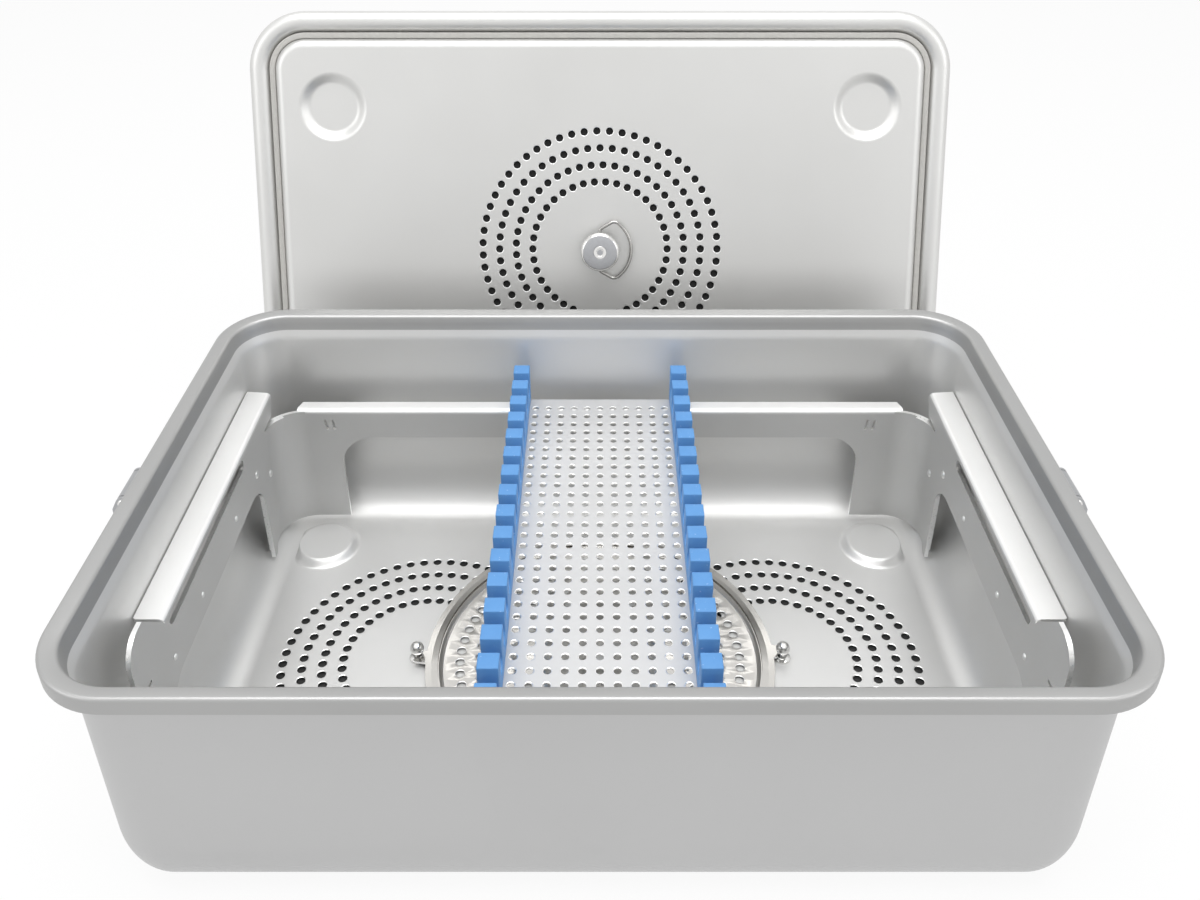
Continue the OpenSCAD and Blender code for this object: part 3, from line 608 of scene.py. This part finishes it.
back_bend = BACK_HALF - INSERT_R + INNER_R * math.pi / 2
tongue = back_bend + STRAIGHT_Y - 54.5
back_last = back_bend + STRAIGHT_Y - 44
back_tail = [(tongue - 1.6, FOOT_Z), (tongue, FOOT_Z + 1.6)]
back_tail += arc(tongue + 3.5, 43, 3.5, 180, 90, 4) + [(back_last, 46.5), (back_last, WALL_TOP)]
bm = gated_wall(BACK_HALF, back_last, back_tail)
add_rail(bm, BACK_HALF - INSERT_R)
mirrored(bm)
all_one_way(bm, Vector((0, -1, 1)))
finished("insert_back", bm, sheet_finishes, "insert",
         ["insert_back_band"], INSERT_SHEET)

PANEL_X = FRONT_HALF - INSERT_SHEET
FLANGE_R = 1.9
FLANGE_Z = 70.5
FLANGE_BEND = FLANGE_Z - FLANGE_R
FLANGE_OUT = 147.5
RELIEF_Z = 61.6
CORNER_X = BACK_HALF - INSERT_R
CORNER_R = 12.95
SLOT_R = 2.25
SLOT_Z = 66.25
ARCH_R = 12
ARCH_Z = 33.5
DIMPLES_Y = (-48, -20, 20)
DIMPLE_Z = 53
RIVETS = ((48, 52), (63.2, 41))

front_last = FRONT_HALF - INSERT_R + INNER_R * math.pi / 2
bm = gated_wall(FRONT_HALF, front_last, [(front_last, FOOT_Z), (front_last, WALL_TOP)])
add_rail(bm, FRONT_HALF - INSERT_R)
bmesh.ops.transform(bm, matrix=Matrix.Scale(-1, 4, (0, 1, 0)), verts=bm.verts)

panel = bmesh.new()
edge = [(-65, FOOT_Z), (-65, WALL_TOP), (-65, RELIEF_Z), (-73.6, RELIEF_Z), (-74.4, 62.4)]
edge += arc(-65.4, 73.5, 9, 180, 90, 10) + [(-62, 82.5), (-50.4, 70.9), (-49, FLANGE_BEND)]
edge += [(-48.1, FLANGE_BEND), (79.06, FLANGE_BEND), (75.57, RELIEF_Z), (65, RELIEF_Z)]
edge += [(65, WALL_TOP), (75.37, WALL_TOP), (71.5, 34), (71.5, 27), (54.7, FOOT_Z), (52, FOOT_Z)]
edge += arc(40, ARCH_Z, ARCH_R, 0, 90, 8) + arc(-44, ARCH_Z, ARCH_R, 90, 180, 8) + [(-56, FOOT_Z)]
looped(panel, [(y, z, 0) for y, z in edge])
slot_edge = arc(34.75, SLOT_Z, SLOT_R, -90, 90, 8) + arc(-43.75, SLOT_Z, SLOT_R, 90, 270, 8)
looped(panel, [(y, z, 0) for y, z in slot_edge])
bmesh.ops.triangle_fill(panel, use_beauty=True, edges=panel.edges[:], normal=UP)
cut_lines(panel, lambda bm: bm.faces, (1, 0, 0), [-64.7])
low_rear = lambda bm: [f for f in bm.faces if any(v.co.x > 65.001 and v.co.y < 61 for v in f.verts)]
cut_lines(panel, low_rear, (1, 0, 0),
          [STRAIGHT_Y + CORNER_R * math.sin(math.radians(5 * k)) for k in range(11)])
for vert in panel.verts:
    y, z = vert.co.xy
    bent = y > STRAIGHT_Y and z < 61
    vert.co = (CORNER_X + math.sqrt(CORNER_R ** 2 - (y - STRAIGHT_Y) ** 2) if bent else PANEL_X, y, z)
fold = arc(PANEL_X + FLANGE_R, FLANGE_BEND, FLANGE_R, 180, 90, 6) + [(FLANGE_OUT - 0.9, FLANGE_Z),
                                                                    (FLANGE_OUT, FLANGE_Z)]
flange_ends = swept(panel, fold, (-49, -48.1, 79.06), "Y")
for vert in flange_ends[0]:
    if vert.co.x > FLANGE_OUT - 0.01:
        vert.co.y += 0.6
for vert in flange_ends[-1]:
    vert.co.y += 0.94 * (vert.co.x - PANEL_X) / (FLANGE_OUT - PANEL_X)
bmesh.ops.remove_doubles(panel, verts=panel.verts, dist=0.002)
add_copy(bm, panel, Matrix())
panel.free()
mirrored(bm)
all_one_way(bm, Vector((0, 1, 1)))
finished("insert_front", bm, sheet_finishes, "insert",
         ["insert_front_band"], INSERT_SHEET)

dome = turned([(1.15, -0.01), (1.05, 0.2), (0.85, 0.4), (0.5, 0.52), (0, 0.55)], 16)
smooth(dome)
bm = bmesh.new()
for side in (-1, 1):
    for y in DIMPLES_Y:
        add_copy(bm, dome, Matrix.Translation((side * PANEL_X, y, DIMPLE_Z))
                 @ Matrix.Rotation(-side * math.pi / 2, 4, "Y"))
dome.free()
# The dimples take the brighter level copy of the sheet as well, a painted highlight
finished("side_dimples", bm, (sheet_painted_light,), "insert", ["insert_front_band"])

head = turned([(0, -0.2), (1.6, -0.2), (1.6, 0.1), (1.35, 0.4), (0.8, 0.62), (0, 0.7)], 18)
tail = turned([(0, -0.2), (1.5, -0.2), (1.5, 0.35), (1.35, 0.5), (0, 0.5)], 18)
bm = bmesh.new()
for side in (-1, 1):
    for y, z in RIVETS:
        inward = Matrix.Rotation(-side * math.pi / 2, 4, "Y")
        outward = Matrix.Rotation(side * math.pi / 2, 4, "Y")
        add_copy(bm, head, Matrix.Translation((side * PANEL_X, y, z)) @ inward)
        add_copy(bm, tail, Matrix.Translation((side * BACK_HALF, y, z)) @ outward)
head.free()
tail.free()
smooth(bm)
finished("insert_rivet_heads", bm, (cut_edge,), "insert", ["insert_rivets"])


# Tray. A strip of bright perforated sheet that lies across the two rails. Its long edges
# are turned up into the combs and its ends are turned down over the rails.
TRAY_TOP = 62.4
TRAY_FLAT_X = 31.75
TRAY_END = 87.3
TRAY_HOOK_R = 1.4
TRAY_SHEET = 1
TRAY_HOLE_R = 1.3
COLUMN_STEP = 5.43
ROW_STEP = 5.68
EDGE_UP = 4.3
HOOK_DOWN = 4.6

tray_alloy = Finish("bright_sheet", Metallic=0.6)
tray_clouds = tray_alloy.noise(30, 2)
tray_grain = tray_alloy.noise(2200, 2)
tray_alloy.give("Base Color", tray_alloy.blend(tray_clouds, (0.6, 0.6, 0.6), (0.67, 0.67, 0.67)))
tray_alloy.give("Roughness", 0.44 + 0.08 * tray_grain)
tray_alloy.raise_by(tray_grain, 0.012, 0.3)

bm = bmesh.new()
flat_y = TRAY_END - TRAY_HOOK_R
looped(bm, [(TRAY_FLAT_X, -flat_y, TRAY_TOP), (TRAY_FLAT_X, flat_y, TRAY_TOP),
            (-TRAY_FLAT_X, flat_y, TRAY_TOP), (-TRAY_FLAT_X, -flat_y, TRAY_TOP)])
sides = bm.edges[:]
hole = punched(TRAY_HOLE_R, TRAY_TOP, 0.18, 12)
row = bmesh.new()
for column in range(-5, 6):
    add_copy(row, hole, Matrix.Translation((column * COLUMN_STEP, 0, 0)))
for line in range(-14, 15):
    add_copy(bm, row, Matrix.Translation((0, line * ROW_STEP, 0)))
hole.free()
row.free()
filled(bm, TRAY_TOP)
for side in (-1, 1):
    edge_x = [e for e in bm.edges if e.is_boundary
              and all(abs(v.co.x - side * TRAY_FLAT_X) < 0.01 for v in e.verts)]
    moving = edge_x + list({v for e in edge_x for v in e.verts})
    moving = bmesh.ops.spin(bm, geom=moving, cent=(side * TRAY_FLAT_X, 0, TRAY_TOP + 0.5),
                            axis=(0, 1, 0), angle=-side * math.pi / 2, steps=4)["geom_last"]
    bmesh.ops.spin(bm, geom=moving, cent=(0, 0, 0), axis=UP, dvec=(0, 0, EDGE_UP), angle=0, steps=1)
    edge_y = [e for e in bm.edges if e.is_boundary
              and all(abs(v.co.y - side * flat_y) < 0.01 and abs(v.co.x) < TRAY_FLAT_X + 0.01
                      and v.co.z < TRAY_TOP + 0.01 for v in e.verts)]
    moving = edge_y + list({v for e in edge_y for v in e.verts})
    moving = bmesh.ops.spin(bm, geom=moving, cent=(0, side * flat_y, TRAY_TOP - TRAY_HOOK_R),
                            axis=(1, 0, 0), angle=-side * math.pi / 2, steps=6)["geom_last"]
    bmesh.ops.spin(bm, geom=moving, cent=(0, 0, 0), axis=UP, dvec=(0, 0, -HOOK_DOWN), angle=0, steps=1)
for face in bm.faces:
    face.smooth = abs(face.normal.z) < 0.9999
all_one_way(bm, UP)
finished("tray_strip", bm, (tray_alloy, cut_edge), "tray", ["rack_tray"], TRAY_SHEET)


# Combs. Two blue silicone bars with round-bottomed notches, moulded in one piece and
# pushed over the tray's upturned edges.
COMB_IN = 29.5
COMB_OUT = 36
COMB_TOP = 78.7
COMB_STEP = 11.3
COMB_HALF = 87.85
EYE_R = 3.1
EYE_Z = 70.8
MOUTH = 5.1

silicone = Finish("blue_silicone_rubber", IOR=1.42)
rubber_clouds = silicone.noise(70, 3)
rubber_grain = silicone.noise(1900, 2)
lint = silicone.between(silicone.noise(900, 1), 0.72, 0.76)
rubber_blue = silicone.blend(rubber_clouds, (0.105, 0.29, 0.62), (0.135, 0.35, 0.7))
silicone.give("Base Color", silicone.node("ShaderNodeMix", {"data_type": "RGBA"},
                                          {0: 0.5 * lint, 6: rubber_blue, 7: (0.45, 0.6, 0.85, 1)}, 2))
silicone.give("Roughness", 0.42 + 0.2 * rubber_grain)
silicone.raise_by(rubber_grain + 0.5 * rubber_clouds, 0.03, 0.3)

notch_open = math.degrees(math.acos(MOUTH / 2 / EYE_R))
comb_edge = [(-COMB_HALF, TRAY_TOP), (-COMB_HALF, COMB_TOP)]
for notch in range(1, 16):
    middle = (notch - 8) * COMB_STEP
    comb_edge.append((middle - MOUTH / 2, COMB_TOP))
    comb_edge += arc(middle, EYE_Z, EYE_R, 180 - notch_open, 360 + notch_open, 14)
    comb_edge.append((middle + MOUTH / 2, COMB_TOP))
comb_edge += [(COMB_HALF, COMB_TOP), (COMB_HALF, TRAY_TOP)]
for side, name in ((-1, "left"), (1, "right")):
    bm = bmesh.new()
    looped(bm, [(side * COMB_IN, y, z) for y, z in comb_edge])
    side_face = bmesh.ops.contextual_create(bm, geom=bm.edges[:])["faces"]
    solid = bmesh.ops.extrude_face_region(bm, geom=side_face, use_keep_orig=True)["geom"]
    moved = [part for part in solid if isinstance(part, bmesh.types.BMVert)]
    bmesh.ops.translate(bm, verts=moved, vec=(side * (COMB_OUT - COMB_IN), 0, 0))
    bmesh.ops.recalc_face_normals(bm, faces=bm.faces)
    corners = [e for e in bm.edges if len(e.link_faces) == 2 and e.calc_face_angle() > 0.5]
    bmesh.ops.bevel(bm, geom=corners, offset=0.3, offset_type="OFFSET", segments=2, profile=0.5,
                    affect="EDGES", clamp_overlap=True, material=-1)
    bmesh.ops.triangulate(bm, faces=[f for f in bm.faces if len(f.verts) > 4])
    smooth(bm)
    finished("comb_" + name, bm, (silicone,), "tray", ["rack_" + name], sharp=50)


# Lid. Drawn like the pan: a beaded edge, a channel that holds the seal, a raised panel with
# one field of holes, and four sunk bosses that seat on the pegs of a stacked box.
LEAN = math.radians(17.8)
LID_W = 314
LID_D = 212
LID_R = 26
BEAD_R = 4.6
SEAT_Z = -1.15
PANEL_Z = 5.05
lid_place = Matrix.Translation((0, 152.79, 101.83)) @ Matrix.Rotation(math.pi / 2 - LEAN, 4, "X")

lid_line = [(0, -2.95), (0, -2.4)] + arc(BEAD_R, SEAT_Z, BEAD_R, 180, 0, 24)
lid_line += [(9.5, SEAT_Z), (11.9, SEAT_Z), (12.2, SEAT_Z), (12.2, SEAT_Z + 0.6)]
lid_line += arc(16.2, 1.05, 4, 180, 90, 12) + [(16.5, PANEL_Z)]
bm = bmesh.new()
carried_round(bm, lid_line, LID_W, LID_D, LID_R, 18)
field = ring_field(PANEL_Z)
add_copy(bm, field, Matrix())
field.free()
lid_boss = boss(15.4, 10.2, PANEL_Z, PANEL_Z - BOSS_H, 12)
for x in (-BOSS_X, BOSS_X):
    for y in (-BOSS_Y, BOSS_Y):
        add_copy(bm, lid_boss, Matrix.Translation((x, y, 0)))
lid_boss.free()
filled(bm, PANEL_Z)
all_one_way(bm, UP)
finished("lid", bm, (satin_lid, cut_edge), "lid", ["lid_shell"], PAN_SHEET, lid_place)

seal_rubber = Finish("pale_seal")
seal_dust = seal_rubber.noise(500, 3)
seal_rubber.give("Base Color", seal_rubber.blend(seal_dust, (0.46, 0.45, 0.43), (0.58, 0.57, 0.54)))
seal_rubber.give("Roughness", 0.45 + 0.2 * seal_dust)
seal_rubber.raise_by(seal_dust, 0.03, 0.3)
seal_line = [(9.4, SEAT_Z), (9.4, 1.5)] + arc(9.95, 1.5, 0.55, 180, 90, 4)
seal_line += arc(11.45, 1.5, 0.55, 90, 0, 4) + [(12, SEAT_Z), (9.4, SEAT_Z)]
bm = bmesh.new()
carried_round(bm, seal_line, LID_W, LID_D, LID_R, 18)
bmesh.ops.recalc_face_normals(bm, faces=bm.faces)
smooth(bm)
finished("lid_seal_ring", bm, (seal_rubber,), "lid", ["lid_seal"], place=lid_place,
         sharp=60)


# Lid shade disc. So that every hole of the lid looks black in front of a white ground, a black disc
# patterned like cloth lies behind the holes, on the lid's outer face, as painted shade.
lid_painted_shade_cloth = Finish("black_painted_shade_cloth")
threads = lid_painted_shade_cloth.noise(1, 2, lid_painted_shade_cloth.stretched((2600, 2600, 400)))
lid_painted_shade_cloth.give("Base Color", lid_painted_shade_cloth.blend(threads, (0.006, 0.006, 0.006), (0.02, 0.02, 0.02)))
lid_painted_shade_cloth.give("Roughness", 0.8 + 0.2 * threads)
lid_painted_shade_cloth.raise_by(threads, 0.05, 0.4)
bm = turned([(5.3, 3.95), (5.3, 3.55), (5.5, 3.45), (57.4, 3.45), (57.8, 3.55), (58, 3.7), (58, 3.95),
             (5.3, 3.95)], 72)
smooth(bm)
finished("lid_painted_shade_disc", bm, (lid_painted_shade_cloth,), "lid", [], place=lid_place)


# Lid knob. A turned knob with a bright chamfer stands on a collar, held by a socket screw
# with a flanged nut outside. A D-shaped wire bail swings in the collar.
COLLAR_TOP = 11.25
KNOB_TOP = 15.85
KNOB_R = 8.6
BAIL_W = 8.15
WIRE_R = 0.75

knob_matt = Finish("matt_turned_knob", Metallic=1)
knob_clouds = knob_matt.noise(900, 3)
knob_matt.give("Base Color", knob_matt.blend(knob_clouds, (0.42, 0.425, 0.44), (0.5, 0.505, 0.52)))
from_knob = knob_matt.node("ShaderNodeMapping", {"vector_type": "TEXTURE"},
                           {"Vector": knob_matt.spot, "Location": lid_place.translation * MM,
                            "Rotation": (math.pi / 2 - LEAN, 0, 0)})
lathe = knob_matt.node("ShaderNodeTexWave", {"wave_type": "RINGS", "rings_direction": "Z"},
                       {"Vector": from_knob, "Scale": 900, "Distortion": 1})
knob_matt.give("Roughness", 0.42 + 0.1 * knob_clouds)
knob_matt.raise_by(lathe + knob_clouds, 0.01, 0.25)

bm = turned([(0, COLLAR_TOP), (8.1, COLLAR_TOP), (8.5, 11.5), (KNOB_R, 11.9), (KNOB_R, 14.75),
             (8.45, 15.05), (7.9, 15.65), (7.6, 15.8), (7.4, KNOB_TOP), (3.1, KNOB_TOP),
             (2.95, 15.7), (0, 15.7)], 64)
smooth(bm)
for face in bm.faces:
    middle = face.calc_center_median()
    if middle.xy.length > 7.5:
        face.material_index = 1
finished("knob", bm, (knob_matt, chrome), "lid", ["lid_knob"], place=lid_place)

bm = turned([(0, PANEL_Z), (4.9, PANEL_Z), (4.9, 5.5), (4.5, 5.9), (4.5, COLLAR_TOP), (0, COLLAR_TOP)], 40)
smooth(bm)
finished("knob_collar", bm, (chrome,), "lid", ["lid_knob_collar"], place=lid_place)

bm = turned([(2.9, 15.6), (2.9, 15.75), (2.75, 15.9), (2.1, 15.95), (1.75, 15.9), (1.6, 15.75)], 36)
socket = bmesh.ops.create_circle(bm, cap_ends=False, radius=1.443, segments=6,
                                 matrix=Matrix.Translation((0, 0, 15.75)))["verts"]
hexagon = list({e for v in socket for e in v.link_edges})
mouth = [e for e in bm.edges if e.is_boundary and all(v.co.xy.length < 1.65 for v in e.verts)]
bmesh.ops.triangle_fill(bm, use_beauty=True, edges=hexagon + mouth, normal=UP)
deep = bmesh.ops.spin(bm, geom=hexagon + socket, cent=(0, 0, 0), axis=UP, dvec=(0, 0, -1.9),
                      angle=0, steps=1)["geom_last"]
bottom = bmesh.ops.contextual_create(bm, geom=[p for p in deep if isinstance(p, bmesh.types.BMEdge)])
tip = bmesh.ops.poke(bm, faces=bottom["faces"])["verts"]
bmesh.ops.translate(bm, verts=tip, vec=(0, 0, -0.5))
all_one_way(bm, UP)
shank = turned([(0, 1), (1.9, 1), (1.9, 4.05)], 24)
add_copy(bm, shank, Matrix())
shank.free()
smooth(bm)
# The socket's hollow is painted near black: painted shade in the recess
socket_painted_shade = Finish("socket_painted_shade_finish", Metallic=0.3)
socket_shade_mottle = socket_painted_shade.noise(1500, 2)
socket_painted_shade.give("Base Color", socket_painted_shade.blend(socket_shade_mottle, (0.015, 0.015, 0.015), (0.05, 0.05, 0.05)))
socket_painted_shade.give("Roughness", 0.4 + 0.2 * socket_shade_mottle)
for face in bm.faces:
    middle = face.calc_center_median()
    if middle.z > COLLAR_TOP and middle.xy.length < 1.44 and middle.z < 15.7:
        face.material_index = 1
finished("knob_screw", bm, (chrome, socket_painted_shade), "lid", ["lid_knob_screw"], place=lid_place)

bm = turned([(3.4, 3.25), (4.8, 3.25), (5, 3.45), (5, 4.05), (0, 4.05)], 40)
hexagon = bmesh.ops.create_circle(bm, cap_ends=True, radius=3.85, segments=6,
                                  matrix=Matrix.Translation((0, 0, 0.85)))["verts"]
nut_face = list({f for v in hexagon for f in v.link_faces})
nut = bmesh.ops.extrude_face_region(bm, geom=nut_face, use_keep_orig=True)["geom"]
bmesh.ops.translate(bm, verts=[p for p in nut if isinstance(p, bmesh.types.BMVert)], vec=(0, 0, 2.5))
nut_edges = [e for e in nut_face[0].edges]
bmesh.ops.bevel(bm, geom=nut_edges, offset=0.35, offset_type="OFFSET", segments=2, profile=0.5,
                affect="EDGES", clamp_overlap=True, material=-1)
bmesh.ops.recalc_face_normals(bm, faces=bm.faces)
smooth(bm)
finished("knob_nut", bm, (chrome,), "lid", ["lid_nut"], place=lid_place, sharp=28)

bm = bmesh.new()
across = Matrix.Translation((0, 2.9, BAIL_W)) @ Matrix.Rotation(math.pi / 2, 4, "X")
wire = bmesh.ops.create_circle(bm, cap_ends=False, radius=WIRE_R - 0.02, segments=14,
                               matrix=across)["verts"]
moving = wire + bm.edges[:]
slope = Vector((math.cos(math.radians(30)), math.sin(math.radians(30)), 0)) * 4.788
# Each bend is (middle of the bend, angle), and each straight is a run
bail_route = (Vector((0, 5.854, 0)), ((1.5, 8.754), -60), slope, ((6.396, 9.85), -68),
              ((-1.3, 0), -104), ((6.396, -9.85), -68), Vector((-slope.x, slope.y, 0)),
              ((1.5, -8.754), -60), Vector((0, 5.854, 0)))
for leg in bail_route:
    if isinstance(leg, Vector):
        moving = bmesh.ops.spin(bm, geom=moving, cent=(0, 0, 0), axis=UP, dvec=leg, angle=0,
                                steps=1)["geom_last"]
    else:
        middle, angle = leg
        moving = bmesh.ops.spin(bm, geom=moving, cent=(*middle, BAIL_W), axis=UP,
                                angle=math.radians(angle), steps=max(6, -angle // 5))["geom_last"]
bmesh.ops.holes_fill(bm, edges=[e for e in bm.edges if e.is_boundary], sides=0)
bmesh.ops.recalc_face_normals(bm, faces=bm.faces)
smooth(bm)
wire_steel = Finish("drawn_wire", Metallic=1)
wire_haze = wire_steel.noise(1200, 2)
wire_steel.give("Base Color", wire_steel.blend(wire_haze, (0.38, 0.375, 0.36), (0.5, 0.495, 0.48)))
wire_steel.give("Roughness", 0.18 + 0.12 * wire_haze)
finished("bail", bm, (wire_steel,), "bail", ["lid_bail"], place=lid_place)


# Latches. On each short wall a riveted strap is rolled round a pin, from which a hooked
# lever hangs. It swings up over the lid's edge to hold it.
SIDE_X = 149
PIN_X = 163
PIN_Z = 83.3
KNUCKLE_R = 2.75
LATCH_SHEET = 1.2
STRAP_HALF = 7
EAR_Y = 7.3
LATCH_RIVET_Y = 3.5
LATCH_RIVET_Z = 69.3

strap_alloy = Finish("pressed_strap", Metallic=1)
strap_grain = strap_alloy.noise(1800, 3)
strap_alloy.give("Base Color", strap_alloy.blend(strap_grain, (0.36, 0.365, 0.375), (0.46, 0.465, 0.475)))
strap_alloy.give("Roughness", 0.3 + 0.12 * strap_grain)
strap_alloy.raise_by(strap_grain, 0.012, 0.3)

strap = bmesh.new()
strap_line = [(SIDE_X, 65.3), (SIDE_X, 83.65)] + arc(151.4, 83.65, 2.4, 180, 90, 6)
strap_line += arc(PIN_X, PIN_Z, KNUCKLE_R, 90, -170, 24)
swept(strap, strap_line, (-STRAP_HALF, STRAP_HALF), "Y")
bmesh.ops.recalc_face_normals(strap, faces=strap.faces)
smooth(strap)
lever = bmesh.new()
lever_line = [(PIN_X + 4.25, 79.9), (PIN_X + 4.25, 64.9)] + arc(PIN_X + 5.05, 64.9, 0.8, 180, 270, 4)
lever_line += arc(PIN_X + 7.45, 65.7, 1.6, -90, 0, 5) + [(PIN_X + 9.05, 66.3)]
swept(lever, lever_line, (-EAR_Y - LATCH_SHEET, EAR_Y + LATCH_SHEET), "Y")
smooth(lever)
ear = bmesh.new()
ear_edge = arc(PIN_X, PIN_Z, KNUCKLE_R, 25, 200, 14)
ear_edge += [(PIN_X - 1, 79.6), (PIN_X + 3.05, 78.6), (PIN_X + 4.25, 78.6), (PIN_X + 4.25, 81.2)]
looped(ear, [(x, EAR_Y, z) for x, z in ear_edge])
ear_face = bmesh.ops.contextual_create(ear, geom=ear.edges[:])["faces"]
ear_solid = bmesh.ops.extrude_face_region(ear, geom=ear_face, use_keep_orig=True)["geom"]
bmesh.ops.translate(ear, verts=[p for p in ear_solid if isinstance(p, bmesh.types.BMVert)],
                    vec=(0, LATCH_SHEET, 0))
bmesh.ops.recalc_face_normals(ear, faces=ear.faces)
pin = turned([(0, -9.2), (1.5, -9.2), (1.9, -8.95), (2.1, -8.5), (1.5, -8.5), (1.5, 8.5), (2.1, 8.5),
              (1.9, 8.95), (1.5, 9.2), (0, 9.2)], 24)
smooth(pin)
rivet = turned([(0, -0.1), (2.55, -0.1), (2.5, 0.3), (2.1, 0.7), (1.35, 0.95), (0, 1)], 24)
smooth(rivet)
for side, name in ((-1, "left"), (1, "right")):
    flip = Matrix.Scale(side, 4, (1, 0, 0))
    bm = bmesh.new()
    add_copy(bm, strap, flip)
    all_one_way(bm, UP)
    finished("latch_strap_" + name, bm, (strap_alloy, cut_edge), "pan",
             ["latch_bracket_" + name], LATCH_SHEET)
    bm = bmesh.new()
    for y in (-LATCH_RIVET_Y, LATCH_RIVET_Y):
        outward = Matrix.Rotation(side * math.pi / 2, 4, "Y")
        add_copy(bm, rivet, Matrix.Translation((side * (SIDE_X + LATCH_SHEET), y, LATCH_RIVET_Z))
                 @ outward)
    finished("latch_rivet_heads_" + name, bm, (cut_edge,), "pan",
             ["latch_rivets_" + name])
    bm = bmesh.new()
    add_copy(bm, lever, flip)
    all_one_way(bm, Vector((side, 0, 0)))
    body = "latch_" + name
    finished("lever_" + name, bm, (strap_alloy, cut_edge), body,
             ["latch_lever_" + name], LATCH_SHEET)
    bm = bmesh.new()
    add_copy(bm, ear, flip)
    add_copy(bm, ear, Matrix.Scale(-1, 4, (0, 1, 0)) @ flip)
    bmesh.ops.recalc_face_normals(bm, faces=bm.faces)
    finished("lever_ears_" + name, bm, (strap_alloy,), body, ["latch_lever_" + name])
    bm = bmesh.new()
    lying = Matrix.Translation((side * PIN_X, 0, PIN_Z)) @ Matrix.Rotation(math.pi / 2, 4, "X")
    add_copy(bm, pin, lying)
    finished("hinge_pin_" + name, bm, (chrome,), body, ["latch_pin_" + name])
for part in (strap, lever, ear, pin, rivet):
    part.free()
